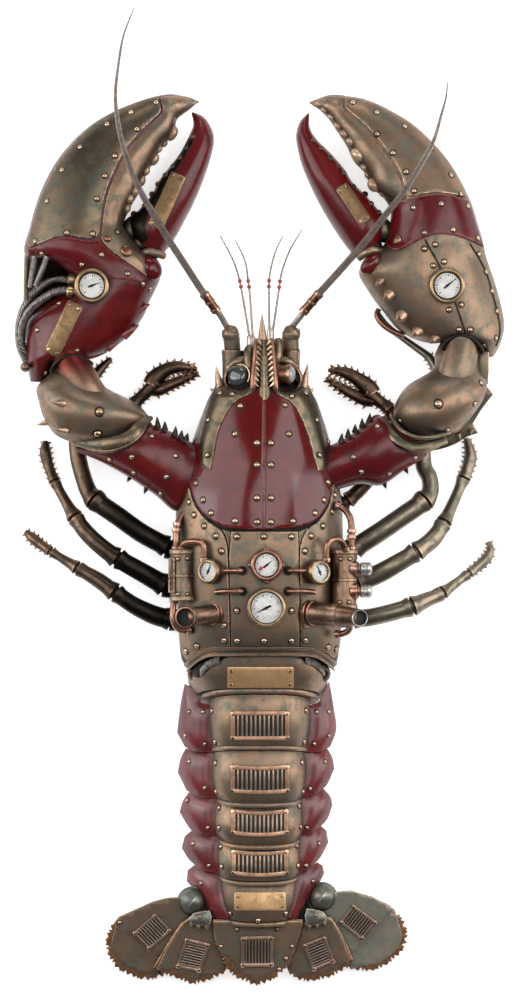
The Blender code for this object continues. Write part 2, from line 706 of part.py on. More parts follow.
def make_big_claws(thorax, shields, bronze, enamel):
    """Upper arm, elbow, palm with fixed finger, and the other finger, on each side."""
    palms = {}
    for side in ("left", "right"):
        palm_material = enamel if side == "left" else bronze
        palm = claw_piece(f"palm_{side}", PALMS[side], palm_material)
        finger = claw_piece(f"finger_{side}", FINGERS[side], enamel)
        fit(finger, palm)
        elbow = claw_piece(f"elbow_{side}", ELBOWS[side], bronze)
        fit(elbow, palm)
        arm = claw_piece(f"upper_arm_{side}", UPPER_ARMS[side], enamel)
        fit(arm, elbow, thorax, shields[side])
        for base, tip in ELBOW_SPIKES[side]:
            spike(elbow, base, tip, ELBOW_SPIKE_RADIUS)
        palms[side] = palm
    return palms


def claw_piece(name, rows, material):
    return piece(name, row_loft(rows, BELLY_CLAW), material, rib(*rows[0])[0])


# Steel wire ropes that bow out along the left claw: x, y, height.
ROPE_RADIUS = 3.9
CLAW_CABLES = {
    "claw_cable_outer": [
        (-190, 219, 40), (-200, 221, 40), (-211, 221, 40), (-222, 215, 40), (-232, 206, 40),
        (-241, 193, 39), (-246, 180, 37), (-247.1, 167, 35), (-246, 154, 33), (-240, 141, 32),
        (-232, 132, 32),
    ],
    "claw_cable_inner": [
        (-188, 208, 56), (-198, 210, 58), (-210, 208, 60), (-222, 200, 61), (-233, 190, 60),
        (-240, 177, 56), (-242, 165, 51), (-240, 152, 47), (-233, 141, 43), (-224, 134, 38),
    ],
}


def make_claw_cables(palm, elbow_name, steel):
    for name, points in CLAW_CABLES.items():
        ribs = tube_ribs([(*point, ROPE_RADIUS) for point in points])
        cable = piece(name, loft(ribs, ROUND_WHISKER), steel, ribs[0][0])
        fit(cable, palm, bpy.data.objects[elbow_name])


# Legs from the carapace to the tip: x, y, height, radius.
LEGS = {
    "leg_left_1": [
        (-76, -8, 26, 9), (-92, 4, 24, 9), (-112, 30, 21, 9), (-131, 60, 20, 8), (-137, 82, 20, 8),
        (-132, 95, 20, 7), (-121, 106, 20, 7), (-108, 118, 20, 11), (-94, 126, 20, 12.5), (-80, 130, 20, 9),
        (-66.5, 131, 20, 2.5),
    ],
    "leg_left_2": [
        (-82, -52, 36, 10), (-96, -45, 38, 10), (-122, -31, 40, 10), (-146, -14, 38, 10),
        (-166, 0, 34, 10), (-175, 10, 29, 9), (-181, 26, 24, 8.5), (-186, 46, 20, 8.5),
        (-188, 72, 18, 8.5), (-183, 100, 17, 8), (-175, 118, 16, 7), (-165, 131, 14, 5.5),
        (-154, 142, 12, 2.5),
    ],
    "leg_left_3": [
        (-82, -90, 40, 10), (-99, -83, 42, 10.5), (-122, -70, 46, 10), (-143, -58, 48, 9.5),
        (-158, -48, 47, 9), (-176, -32, 40, 8.5), (-189, -15, 32, 7.5), (-199, 1, 24, 5.5),
        (-210, 20, 16, 5.5), (-217, 36, 10, 6), (-220, 48, 8, 6.5), (-220, 59, 6, 3.5),
    ],
    "leg_left_4": [
        (-80, -122, 38, 10), (-94, -118, 40, 10), (-110, -114, 43, 10), (-131, -104, 45, 9),
        (-150, -91, 44, 8.5), (-168, -78, 38, 8), (-187, -67, 31, 6.5), (-206, -56, 23, 4.8),
        (-222, -46, 15, 5.5), (-233, -38, 9, 6), (-240, -31.5, 6, 3),
    ],
    "leg_right_1": [
        (68, -6, 26, 8), (82, -1, 24, 8), (103, 20, 21, 8), (121, 50, 20, 8), (129, 74, 20, 8),
        (125, 90, 20, 7), (114, 99, 20, 7), (102, 108, 20, 11), (88, 116, 20, 12.5), (74, 122, 20, 9),
        (60.5, 126.5, 20, 2.5),
    ],
    "leg_right_2": [
        (70, -54, 36, 10), (88, -46, 38, 10), (112, -31, 40, 10), (134, -16, 38, 10), (154, -2, 34, 10),
        (164, 9, 29, 9), (164, 24, 24, 8.5), (158, 38, 20, 8.5), (158, 66, 18, 8.5), (168, 98, 17, 8),
        (173, 124, 15, 7), (166, 141, 12, 5), (150, 150, 9, 4), (134, 158, 8, 3.5), (119, 171, 8, 3.5),
        (110, 188, 8, 2),
    ],
    "leg_right_3": [
        (70, -90, 40, 10), (93, -79, 42, 10.5), (112, -72, 45, 10), (132, -61, 48, 9.5), (150, -50, 47, 9),
        (167, -37, 40, 9), (178, -21, 33, 7.5), (186, -5, 25, 6), (194, 12, 17, 6), (202, 30, 11, 7),
        (206, 45, 8, 7), (202, 62, 6, 3.5),
    ],
    "leg_right_4": [
        (68, -118, 38, 9), (88, -117, 40, 9), (104, -116, 43, 9), (126, -111, 45, 9), (146, -105, 44, 9),
        (160, -99, 38, 8), (176, -92, 31, 6.5), (192, -81, 22, 4.8), (209, -69, 14, 5.5), (221, -59, 9, 6),
        (226, -50, 6, 4.5), (224, -41.5, 5, 2.5),
    ],
}


def make_legs(thorax, steel_bronze):
    for name, path in LEGS.items():
        ribs = tube_ribs(path)
        fit(piece(name, loft(ribs, ROUND_TUBE), steel_bronze, ribs[0][0]), thorax)


def main():
    clear_scene()
    bronze = metal("aged_bronze", (0.155, 0.105, 0.07), 0.42, 1.0)
    dark_bronze = metal("dark_bronze", (0.06, 0.045, 0.035), 0.45, 1.0)
    enamel = metal("oxblood_enamel", (0.13, 0.012, 0.012), 0.28, 0.4)
    copper = metal("copper_tube", (0.42, 0.16, 0.08), 0.32, 1.0)
    brass = metal("brass", (0.45, 0.27, 0.12), 0.35, 1.0)
    steel = metal("wire_steel", (0.32, 0.29, 0.27), 0.35, 1.0)
    glass = metal("lens_glass", (0.05, 0.06, 0.06), 0.1, 0.0)

    thorax = make_thorax(bronze)
    shields = {
        "left": make_shield("shield_left", SHIELD_EDGE_LEFT, thorax, enamel),
        "right": make_shield("shield_right", SHIELD_EDGE_RIGHT, thorax, enamel),
    }
    rostrum = make_rostrum(thorax, bronze)
    make_rear_rim(bronze)
    sockets = make_antennae(thorax, dark_bronze, steel)
    make_eyes(thorax, rostrum, sockets, glass)
    make_feelers(thorax, rostrum, steel)
    make_gauges(thorax, brass)
    exhausts = make_exhausts(thorax, copper)
    make_canisters(thorax, exhausts, bronze)
    rings = make_tail_rings(bronze)
    side_plates = make_side_plates(rings, enamel)
    make_fan(rings, side_plates, bronze)
    palms = make_big_claws(thorax, shields, bronze, enamel)
    make_claw_cables(palms["left"], "elbow_left", steel)
    make_legs(thorax, dark_bronze)
    add_cheek_spikes(thorax)

    sculpture = bpy.data.objects.new("lobster", None)
    bpy.context.scene.collection.objects.link(sculpture)
    for obj in bpy.context.scene.collection.objects:
        if obj.type == "MESH":
            obj.parent = sculpture
            shade(obj)


main()
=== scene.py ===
"""Dressed model of a steampunk lobster sculpture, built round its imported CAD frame.

Plan points are millimetres on a drawing of the sculpture seen from above, and at() turns them
into metres in the frame.
"""

from math import cos, degrees, hypot, pi, radians, sin

import bmesh
import bpy
import numpy as np
from mathutils import Matrix, Vector
from mathutils.bvhtree import BVHTree


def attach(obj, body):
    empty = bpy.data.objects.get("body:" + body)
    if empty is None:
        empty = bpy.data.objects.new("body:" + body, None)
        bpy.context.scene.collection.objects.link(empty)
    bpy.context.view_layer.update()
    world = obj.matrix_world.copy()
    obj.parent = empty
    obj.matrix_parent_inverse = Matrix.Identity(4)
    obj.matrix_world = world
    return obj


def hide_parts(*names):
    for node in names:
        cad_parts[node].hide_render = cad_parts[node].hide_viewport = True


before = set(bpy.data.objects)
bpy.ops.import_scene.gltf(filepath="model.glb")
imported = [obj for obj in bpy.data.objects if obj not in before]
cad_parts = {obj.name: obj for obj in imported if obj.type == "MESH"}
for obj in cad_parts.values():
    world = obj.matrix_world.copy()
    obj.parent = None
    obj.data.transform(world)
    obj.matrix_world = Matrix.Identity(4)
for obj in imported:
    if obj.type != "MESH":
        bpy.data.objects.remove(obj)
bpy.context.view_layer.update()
scene = bpy.context.scene


# Stage. A long lens looks straight down, from far off, on a wide pale table top. Two tall soft boxes
# stand high on either side, two low ones graze the flanks, and a weak one stands beyond the head.
LENS = 600
SENSOR = 36
FRAME_HEIGHT = 1.0
camera_data = bpy.data.cameras.new("above")
camera_data.lens = LENS
camera_data.sensor_width = SENSOR
camera_data.clip_start = 1.0
camera_data.clip_end = 60.0
camera = bpy.data.objects.new("above", camera_data)
camera.location = (0.0005, -0.0015, 0.05 + FRAME_HEIGHT * LENS / SENSOR)
scene.collection.objects.link(camera)
scene.camera = camera

scene.view_settings.view_transform = "Standard"
scene.view_settings.look = "None"
world = bpy.data.worlds.new("studio")
scene.world = world
world.use_nodes = True
world.node_tree.nodes["Background"].inputs["Color"].default_value = (0.92, 0.95, 1.0, 1.0)
world.node_tree.nodes["Background"].inputs["Strength"].default_value = 0.2

bm = bmesh.new()
bmesh.ops.create_grid(bm, x_segments=1, y_segments=1, size=6.0)
bmesh.ops.translate(bm, verts=bm.verts, vec=(0.0, 0.0, -0.0004))
table_top = bpy.data.objects.new("table_top", bpy.data.meshes.new("table_top"))
bm.to_mesh(table_top.data)
bm.free()
scene.collection.objects.link(table_top)
paper = bpy.data.materials.new("pale_paper")
paper.use_nodes = True
shader = paper.node_tree.nodes["Principled BSDF"]
shader.inputs["Base Color"].default_value = (0.86, 0.86, 0.86, 1.0)
shader.inputs["Roughness"].default_value = 0.9
shader.inputs["Emission Color"].default_value = (1.0, 1.0, 1.0, 1.0)
shader.inputs["Emission Strength"].default_value = 0.62
table_top.data.materials.append(paper)


def soft_box(name, place, size, watts):
    """An area light at a place in metres, turned to the middle of the sculpture."""
    lamp = bpy.data.lights.new(name, "AREA")
    lamp.shape = "RECTANGLE"
    lamp.size, lamp.size_y = size
    lamp.energy = watts
    obj = bpy.data.objects.new(name, lamp)
    obj.location = place
    obj.rotation_euler = (-Vector(place)).to_track_quat("-Z", "Y").to_euler()
    scene.collection.objects.link(obj)


soft_box("right_box", (1.1, 0.7, 2.2), (1.2, 3.8), 52)
soft_box("left_box", (-2.0, 0.7, 1.5), (1.5, 3.8), 56)
soft_box("right_low_box", (2.5, 0.1, 0.85), (1.2, 3.2), 46)
soft_box("left_low_box", (-2.7, 0.1, 0.5), (0.9, 3.2), 26)
soft_box("head_box", (0.1, 2.9, 1.3), (1.6, 0.9), 18)


# Carapace barrel. A hammered bronze shell, brown with green in its hollows, that the plates,
# pipes and dials are fixed to. It is raised from one sheet and closed under the belly.
DRAWING_SHIFT = Vector((5.5, -1.5, 0))


def at(x, y, z=0.0):
    """A plan point and a height in millimetres, as a point in metres."""
    return (Vector((x, y, z)) + DRAWING_SHIFT) / 1000


def between(a, b, c, d, share):
    """A point between b and c on a smooth curve through four points of any dimension."""
    s, s2, s3 = share, share * share, share * share * share
    return tuple(
        q + 0.5 * (s * (r - p) + s2 * (2 * p - 5 * q + 4 * r - t) + s3 * (3 * q - p - 3 * r + t))
        for p, q, r, t in zip(a, b, c, d)
    )


def course(stops, steps):
    """The stops of an open line with steps points to each interval."""
    stops = [tuple(float(value) for value in stop) for stop in stops]
    line = []
    for i in range(len(stops) - 1):
        before = stops[max(i - 1, 0)]
        after = stops[min(i + 2, len(stops) - 1)]
        for step in range(steps):
            line.append(between(before, stops[i], stops[i + 1], after, step / steps))
    return line + [stops[-1]]


def section(sides, cut=1.0, square=2.0):
    """Points of a ring two units wide and high, rounder or squarer, its belly cut flat."""
    angles = [(step + 0.5) * 2 * pi / sides - pi / 2 for step in range(sides)]
    power = 2.0 / square
    wide = [abs(cos(a)) ** power * (1 if cos(a) > 0 else -1) for a in angles]
    high = [max(abs(sin(a)) ** power * (1 if sin(a) > 0 else -1), -cut) for a in angles]
    low, top, reach = min(high), max(high), max(wide)
    return [(w / reach, (2 * h - low - top) / (top - low)) for w, h in zip(wide, high)]


def rib(row):
    """Centre, half width and half height of a cross-section: left, right, low, high, lean."""
    left_x, left_y, right_x, right_y, low, high, lean = (*row, 0.0)[:7]
    bottom = (at(left_x, left_y, low) + at(right_x, right_y, low)) / 2
    top = (at(left_x, left_y, high) + at(right_x, right_y, high)) / 2 + Vector((0, lean / 1000, 0))
    across = (at(right_x, right_y) - at(left_x, left_y)) / 2
    return (bottom + top) / 2, across, (top - bottom) / 2


def ring_edges(bm, ring):
    return [bm.edges.get((ring[i - 1], vert)) for i, vert in enumerate(ring)]


def extend(bm, ring):
    """Extrudes a ring of vertices, and gives the new ring in the same order."""
    made = bmesh.ops.extrude_edge_only(bm, edges=ring_edges(bm, ring))["geom"]
    fresh = {item for item in made if isinstance(item, bmesh.types.BMVert)}
    return [next(v for v in (e.other_vert(vert) for e in vert.link_edges) if v in fresh) for vert in ring]


def loft(bm, ribs, points):
    """Adds a closed solid through cross-sections that share one section shape."""
    ring = bmesh.ops.create_circle(bm, segments=len(points), radius=1.0)["verts"]
    first = ring
    made = list(ring)
    for i, (centre, across, up) in enumerate(ribs):
        if i:
            ring = extend(bm, ring)
            made.extend(ring)
        for vert, (u, v) in zip(ring, points):
            vert.co = centre + u * across + v * up
    for end in (first, ring):
        bmesh.ops.edgeloop_fill(bm, edges=ring_edges(bm, end))
    return made


def piece(name, bm, material, slot, *stands_for, sharp=38):
    """Finishes a mesh as a piece of the sculpture, its faces outwards and its normals smooth."""
    bmesh.ops.recalc_face_normals(bm, faces=bm.faces)
    if bm.calc_volume(signed=True) < 0:
        bmesh.ops.reverse_faces(bm, faces=bm.faces)
    mesh = bpy.data.meshes.new(name)
    bm.to_mesh(mesh)
    surface = BVHTree.FromBMesh(bm)
    bm.free()
    mesh.shade_smooth()
    mesh.set_sharp_from_angle(angle=radians(sharp))
    mesh.materials.append(material)
    obj = bpy.data.objects.new(name, mesh)
    scene.collection.objects.link(obj)
    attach(obj, "root")
    if stands_for:
        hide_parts(*stands_for)
    return surface


def shell(name, rows, steps, ring, material, slot, *stands_for):
    """A smooth body lofted through rows, and its surface for the parts fixed to it."""
    bm = bmesh.new()
    made = [(*row[:4], max(row[4], 0.0), *row[5:]) for row in course(rows, steps)]
    loft(bm, [rib(row) for row in made], ring)
    return piece(name, bm, material, slot, *stands_for)


def place(tree, kind, settings=(), **sockets):
    """Adds a shader node; a socket is given by name with _ for its spaces."""
    made = tree.nodes.new(kind)
    for key, value in dict(settings).items():
        setattr(made, key, value)
    for key, value in sockets.items():
        socket = made.inputs[key.replace("_", " ")]
        if isinstance(value, bpy.types.NodeSocket):
            tree.links.new(value, socket)
        else:
            socket.default_value = value
    return made


def mask_group(name, inputs):
    """An empty node group with float inputs and one output named Mask."""
    tree = bpy.data.node_groups.new(name, "ShaderNodeTree")
    for label, value in inputs.items():
        socket = tree.interface.new_socket(name=label, in_out="INPUT", socket_type="NodeSocketFloat")
        socket.default_value = value
    tree.interface.new_socket(name="Mask", in_out="OUTPUT", socket_type="NodeSocketFloat")
    return tree, tree.nodes.new("NodeGroupInput"), tree.nodes.new("NodeGroupOutput")


# Clouding: soft blotches of another tone.
clouding, given, result = mask_group("clouding", {"Scale": 30.0, "Low": 0.4, "High": 0.6})
spot = place(clouding, "ShaderNodeTexCoord").outputs["Object"]
noise = place(
    clouding, "ShaderNodeTexNoise", Vector=spot, Scale=given.outputs["Scale"], Detail=4.0, Roughness=0.6,
)
ramp = place(
    clouding, "ShaderNodeMapRange", {"interpolation_type": "SMOOTHSTEP"}, Value=noise.outputs["Fac"],
    From_Min=given.outputs["Low"], From_Max=given.outputs["High"],
)
clouding.links.new(ramp.outputs["Result"], result.inputs["Mask"])

# Hollows: where dirt and verdigris gather, round rivets and along seams, and where shade falls; the tone
# laid there is painted shade as well as dirt.
hollows, given, result = mask_group("hollows", {"Reach": 0.008, "Open": 0.85, "Closed": 0.35})
shade = place(hollows, "ShaderNodeAmbientOcclusion", {"samples": 4}, Distance=given.outputs["Reach"])
ramp = place(
    hollows, "ShaderNodeMapRange", Value=shade.outputs["AO"], From_Min=given.outputs["Open"],
    From_Max=given.outputs["Closed"],
)
hollows.links.new(ramp.outputs["Result"], result.inputs["Mask"])

# Rubbed edges: where handling has polished the metal, broken up by a fine grain.
rubbed, given, result = mask_group("rubbed_edges", {"Low": 0.53, "High": 0.6, "Grain": 260.0})
spot = place(rubbed, "ShaderNodeTexCoord").outputs["Object"]
bend = place(rubbed, "ShaderNodeNewGeometry").outputs["Pointiness"]
grain = place(rubbed, "ShaderNodeTexNoise", Vector=spot, Scale=given.outputs["Grain"], Detail=3.0)
ramp = place(rubbed, "ShaderNodeMapRange", Value=bend, From_Min=given.outputs["Low"],
             From_Max=given.outputs["High"])
broken = place(rubbed, "ShaderNodeMapRange", Value=grain.outputs["Fac"], From_Min=0.3, From_Max=0.55)
both = place(rubbed, "ShaderNodeMath", {"operation": "MULTIPLY"})
rubbed.links.new(ramp.outputs["Result"], both.inputs[0])
rubbed.links.new(broken.outputs["Result"], both.inputs[1])
rubbed.links.new(both.outputs["Value"], result.inputs["Mask"])


def use(tree, group, **values):
    """A group placed in a material with its own values, as its Mask output."""
    made = place(tree, "ShaderNodeGroup", {"node_tree": group}, **values)
    return made.outputs["Mask"]


def tint(tree, share, under, over, weight=1.0):
    """A mix of two colours by a mask."""
    if weight != 1.0:
        part = place(tree, "ShaderNodeMath", {"operation": "MULTIPLY"})
        tree.links.new(share, part.inputs[0])
        part.inputs[1].default_value = weight
        share = part.outputs["Value"]
    made = tree.nodes.new("ShaderNodeMix")
    made.data_type = "RGBA"
    tree.links.new(share, made.inputs[0])
    for index, value in ((6, under), (7, over)):
        if isinstance(value, bpy.types.NodeSocket):
            tree.links.new(value, made.inputs[index])
        else:
            made.inputs[index].default_value = (*value, 1.0)
    return made.outputs[2]


def finish(
    name, tones, hollow, edge, rough, metallic=1.0, size=28.0, dirt_and_shade=0.9, wear=0.8, relief=0.12, coat=0.0,
):
    """A worn finish: three clouded tones, dirt and painted shade in the hollows, rubbed edges, fine relief.
    """
    material = bpy.data.materials.new(name)
    material.use_nodes = True
    tree = material.node_tree
    shader = tree.nodes["Principled BSDF"]
    broad = use(tree, clouding, Scale=size, Low=0.42, High=0.6)
    small = use(tree, clouding, Scale=size * 3.7, Low=0.46, High=0.66)
    speck = use(tree, clouding, Scale=size * 14, Low=0.5, High=0.72)
    colour = tint(tree, broad, tones[0], tones[1])
    colour = tint(tree, small, colour, tones[2], 0.7)
    colour = tint(tree, speck, colour, hollow, 0.25)
    # The hollows take the hollow tone: dirt and verdigris, and also painted shade where the crevices are
    # closed in.
    closed = use(tree, hollows)
    colour = tint(tree, closed, colour, hollow, dirt_and_shade)
    worn = use(tree, rubbed)
    colour = tint(tree, worn, colour, edge, wear)
    tree.links.new(colour, shader.inputs["Base Color"])
    gloss = place(tree, "ShaderNodeMapRange", Value=small, To_Min=rough[0], To_Max=rough[1])
    duller = place(tree, "ShaderNodeMath", {"operation": "MULTIPLY_ADD"})
    tree.links.new(closed, duller.inputs[0])
    duller.inputs[1].default_value = 0.3
    tree.links.new(gloss.outputs["Result"], duller.inputs[2])
    tree.links.new(duller.outputs["Value"], shader.inputs["Roughness"])
    shader.inputs["Metallic"].default_value = metallic
    shader.inputs["Coat Weight"].default_value = coat
    shader.inputs["Coat Roughness"].default_value = 0.18
    spot = place(tree, "ShaderNodeTexCoord").outputs["Object"]
    grain = place(tree, "ShaderNodeTexNoise", Vector=spot, Scale=size * 9, Detail=5.0)
    bump = place(tree, "ShaderNodeBump", Strength=relief, Distance=0.0006, Height=grain.outputs["Fac"])
    tree.links.new(bump.outputs["Normal"], shader.inputs["Normal"])
    return material


bronze = finish(
    "aged_bronze", [(0.175, 0.122, 0.085), (0.225, 0.142, 0.09), (0.1, 0.112, 0.09)],
    (0.012, 0.022, 0.019), (0.55, 0.35, 0.24), (0.38, 0.5), metallic=0.85,
)

CARAPACE = [
    (-19, 150, 13, 150, 34, 67), (-24, 137, 17, 137, 30, 73), (-40, 125, 33, 125, 22, 79),
    (-51, 112, 44, 112, 14, 86), (-61.5, 85, 55.5, 85, 5, 95.5), (-73.5, 50, 65.5, 50, 0, 104.5),
    (-84.5, 15, 73.5, 15, 0, 109.5), (-89.5, -30, 76.5, -30, 0, 111.5),
    (-88.5, -80, 76.5, -80, 0, 110.5), (-85.5, -129, 74.5, -129, 0, 104.5),
    (-80.5, -148, 71.5, -148, 0, 97.5),
]
FLAT_BELLY = 0.71
BARREL = section(120, FLAT_BELLY)
SAG_DEPTH, SAG_START, SAG_WIDTH = 0.014, 0.046, 0.028


def sag(spot):
    """How far the rear edge of the carapace hangs back at its sides, in metres."""
    return SAG_DEPTH * max(0.0, (abs(spot.x - 0.0015) - SAG_START) / SAG_WIDTH) ** 2


# Near-black bronze, used mostly as painted shade: on the barrel between the plates, in rings round the
# rivets, in the gaps at the rear rim and the wrists, under the fan roots and in the heel of the left claw.
# On the arm thorns and the claw seams it is their own dark colour.
shadowed = finish(
    "shadowed_bronze", [(0.014, 0.011, 0.009), (0.022, 0.017, 0.012), (0.01, 0.012, 0.01)],
    (0.004, 0.004, 0.004), (0.08, 0.06, 0.045), (0.42, 0.6),
)
bm = bmesh.new()
loft(bm, [rib((*row[:4], max(row[4], 0.0), row[5])) for row in course(CARAPACE, 16)], BARREL)
for vert in bm.verts:
    vert.co.y -= sag(vert.co) * min(max((-0.09 - vert.co.y) / 0.05, 0.0), 1.0) ** 2
# Painted shade: only the gaps between the plates show this shell, so it is coloured near black.
barrel = piece("carapace_barrel", bm, shadowed, "aged_bronze", "thorax")


# Head shields. Two domed plates of dark red enamelled sheet over the front of the barrel, riveted
# along their seam and edges, with bright lips where the enamel has worn off.
enamel = finish(
    "oxblood_enamel", [(0.08, 0.002, 0.003), (0.1, 0.004, 0.004), (0.06, 0.002, 0.002)],
    (0.008, 0.001, 0.001), (0.3, 0.09, 0.07), (0.13, 0.17), metallic=0.0, size=22.0, dirt_and_shade=0.9,
    wear=0.5, relief=0.06,
)
enamel.node_tree.nodes["Principled BSDF"].inputs["Specular IOR Level"].default_value = 0.4
satin = finish(
    "satin_enamel", [(0.075, 0.002, 0.003), (0.1, 0.004, 0.004), (0.05, 0.0015, 0.002)],
    (0.006, 0.001, 0.001), (0.3, 0.09, 0.07), (0.24, 0.32), metallic=0.0, size=22.0, dirt_and_shade=1.0,
    wear=0.5, relief=0.05,
)
satin.node_tree.nodes["Principled BSDF"].inputs["Specular IOR Level"].default_value = 0.34


def flow(points, step=2.5, corner=50):
    """A closed outline resampled on smooth curves, keeping corners sharper than corner degrees."""
    count = len(points)
    made = []

    def turns(i):
        a, b, c = (Vector(points[(i + k) % count]) for k in (-1, 0, 1))
        return degrees((b - a).angle(c - b, 0.0)) > corner

    for i in range(count):
        b, c = points[i], points[(i + 1) % count]
        a = (2 * b[0] - c[0], 2 * b[1] - c[1]) if turns(i) else points[i - 1]
        last = i + 1
        d = (2 * c[0] - b[0], 2 * c[1] - b[1]) if turns(last % count) else points[(i + 2) % count]
        steps = max(1, round(hypot(c[0] - b[0], c[1] - b[1]) / step))
        made.extend(between(a, b, c, d, k / steps) for k in range(steps))
    return made


def over(*surfaces):
    """Gives, for a plan point, the highest point of the surfaces there and its normal."""

    def ground(x, y):
        best = None
        for surface in surfaces:
            spot, normal, _, _ = surface.ray_cast(at(x, y, 400), Vector((0, 0, -1)))
            if spot is not None and (best is None or spot.z > best[0].z):
                best = (spot, normal)
        if best is None:
            best = surfaces[0].find_nearest(at(x, y, 45))[:2]
        return best

    return ground


def sloping(height):
    """Gives, for a plan point, a point of a sheet of the given height(x, y) and its normal."""

    def ground(x, y):
        spot = at(x, y, height(x, y))
        along_x = at(x + 1, y, height(x + 1, y)) - spot
        along_y = at(x, y + 1, height(x, y + 1)) - spot
        return spot, along_x.cross(along_y).normalized()

    return ground


def reach_in(outline, points):
    """How far each plan point lies from the outline."""
    a = np.array(outline)
    b = np.roll(a, -1, axis=0)
    p = np.array(points)[:, None, :]
    run = b - a
    share = np.clip(((p - a) * run).sum(-1) / np.maximum((run * run).sum(-1), 1e-9), 0, 1)
    return np.hypot(*np.moveaxis(p - a - share[..., None] * run, -1, 0)).min(1)


def fitted(
    name, outline, ground, thick, material, slot, *stands_for, lip=0.8, cell=3.5, sink=0.6, crown=0.0,
    crown_reach=10.0, depth=0.0, ease=2,
):
    """A plate cut to a plan outline and beaten to the ground under it, with a rounded lip.

    With a depth it is a sheet of that thickness with an underside of its own.
    """
    bm = bmesh.new()
    face = bm.faces.new([bm.verts.new((x, y, 0.0)) for x, y in outline])
    for inset in (0.05, lip * 0.3, lip * 0.65):
        bmesh.ops.inset_region(
            bm, faces=[face], thickness=inset, use_even_offset=True, use_boundary=True
        )
    low = np.min(outline, axis=0)
    high = np.max(outline, axis=0)
    for axis in (0, 1):
        for line in np.arange(low[axis] + cell * 0.37, high[axis], cell):
            normal = (1.0, 0.0, 0.0) if axis == 0 else (0.0, 1.0, 0.0)
            geometry = bm.verts[:] + bm.edges[:] + bm.faces[:]
            bmesh.ops.bisect_plane(
                bm, geom=geometry, dist=0.02, plane_co=[line * n for n in normal], plane_no=normal
            )
    inside = reach_in(outline, [vert.co.xy for vert in bm.verts])
    inner = []
    for vert, reach in zip(bm.verts, inside):
        if reach < 0.02:
            height = -sink
        elif reach < lip:
            height = thick - lip + lip * (1 - (1 - reach / lip) ** 2) ** 0.5
        else:
            height = thick + crown * (1 - (1 - min(reach / crown_reach, 1)) ** 2)
            inner.append(vert)
        spot, normal = ground(vert.co.x, vert.co.y)
        vert.co = spot + normal * height / 1000
    for _ in range(ease):
        bmesh.ops.smooth_vert(bm, verts=inner, factor=0.5, use_axis_x=True, use_axis_y=True, use_axis_z=True)
    if depth:
        bmesh.ops.recalc_face_normals(bm, faces=bm.faces)
        made = bmesh.ops.extrude_face_region(bm, geom=bm.faces[:], use_keep_orig=True)["geom"]
        under = [item for item in made if isinstance(item, bmesh.types.BMVert)]
        bmesh.ops.translate(bm, verts=under, vec=(0.0, 0.0, -depth / 1000))
    else:
        rim = [edge for edge in bm.edges if edge.is_boundary]
        bmesh.ops.edgeloop_fill(bm, edges=rim)
    return piece(name, bm, material, slot, *stands_for)


SHIELD_LEFT = [
    (-1.6, 130), (-1.6, -29.2), (-15, -29), (-30, -28), (-42, -26), (-50, -22), (-58, -16), (-65, -8),
    (-70, 2), (-75.5, 20), (-78.5, 33), (-74, 50), (-66.5, 72), (-61.5, 85), (-56.5, 98), (-51, 108),
    (-32, 105), (-20, 104.5), (-13.5, 110), (-12, 118), (-10, 130),
]
SHIELD_RIGHT = [
    (-0.4, 130), (8.4, 130), (10.4, 118), (12, 110), (18, 104.5), (28, 105), (44.5, 108), (50.5, 98),
    (55, 85), (60, 70), (64.5, 52), (67.5, 35), (65, 18), (62.5, 0), (58, -10), (50, -19), (42, -24),
    (30, -27), (15, -28.5), (-0.4, -29.2),
]
shield_left = fitted(
    "head_shield_left", flow(SHIELD_LEFT, 3), over(barrel), 2.4, enamel, "oxblood_enamel", "shield_left",
    lip=1.2,
)
shield_right = fitted(
    "head_shield_right", flow(SHIELD_RIGHT, 3), over(barrel), 2.4, enamel, "oxblood_enamel", "shield_right",
    lip=1.2,
)
carapace = over(barrel, shield_left, shield_right)


def rivets(name, spots, ground, material, slot, radius=2.7, rise=0.62):
    """Dome headed rivets set square to the ground at plan points, each in a dark ring of painted shade."""
    bm = bmesh.new()
    shade_rings = bmesh.new()
    for x, y in spots:
        spot, normal = ground(x, y)
        stand = Matrix.Translation(spot) @ normal.to_track_quat("Z", "Y").to_matrix().to_4x4()
        bmesh.ops.create_uvsphere(
            bm, u_segments=10, v_segments=6, radius=radius / 1000,
            matrix=stand @ Matrix.Diagonal((1, 1, rise, 1)),
        )
        bmesh.ops.create_cone(
            shade_rings, cap_ends=True, segments=12, radius1=radius * 1.5 / 1000, radius2=radius * 1.2 / 1000,
            depth=0.0007, matrix=stand
        )
    # Each rivet sits in a flat dark ring: painted shade round its head.
    piece(name + "_seats", shade_rings, shadowed, slot)
    return piece(name, bm, material, slot, sharp=80)


rivet_metal = finish(
    "rivet_bronze", [(0.28, 0.17, 0.1), (0.36, 0.23, 0.14), (0.19, 0.12, 0.075)],
    (0.03, 0.03, 0.02), (0.85, 0.62, 0.44), (0.24, 0.36), dirt_and_shade=0.6,
)
rivets("shield_rivets", [
    (-8, 57), (6, 57), (-8, 35), (6, 35), (-8, 2), (6, 2), (-8, -22), (6, -22), (-25, 94), (20, 95),
    (-62, 0), (-54, -13), (-30, -21), (-69, 17), (59, 0), (50, -13), (28, -21), (63, 18), (65, 39),
    (63.5, 58), (-72.5, 39), (-70, 60), (-30, 66), (24, 66),
], carapace, rivet_metal, "aged_bronze", 2.9)
seam = bmesh.new()
ridge = []
for i in range(57):
    y = 110 - i * 2.5
    ridge.append((-1, y, carapace(-9, y)[0].z * 1000 + 0.1, 0.75))
loft(
    seam,
    [(at(*stop[:3]), Vector((stop[3], 0, 0)) / 1000, Vector((0, 0, stop[3])) / 1000) for stop in ridge],
    section(8),
)
piece("shield_seam_bead", seam, enamel, "oxblood_enamel")


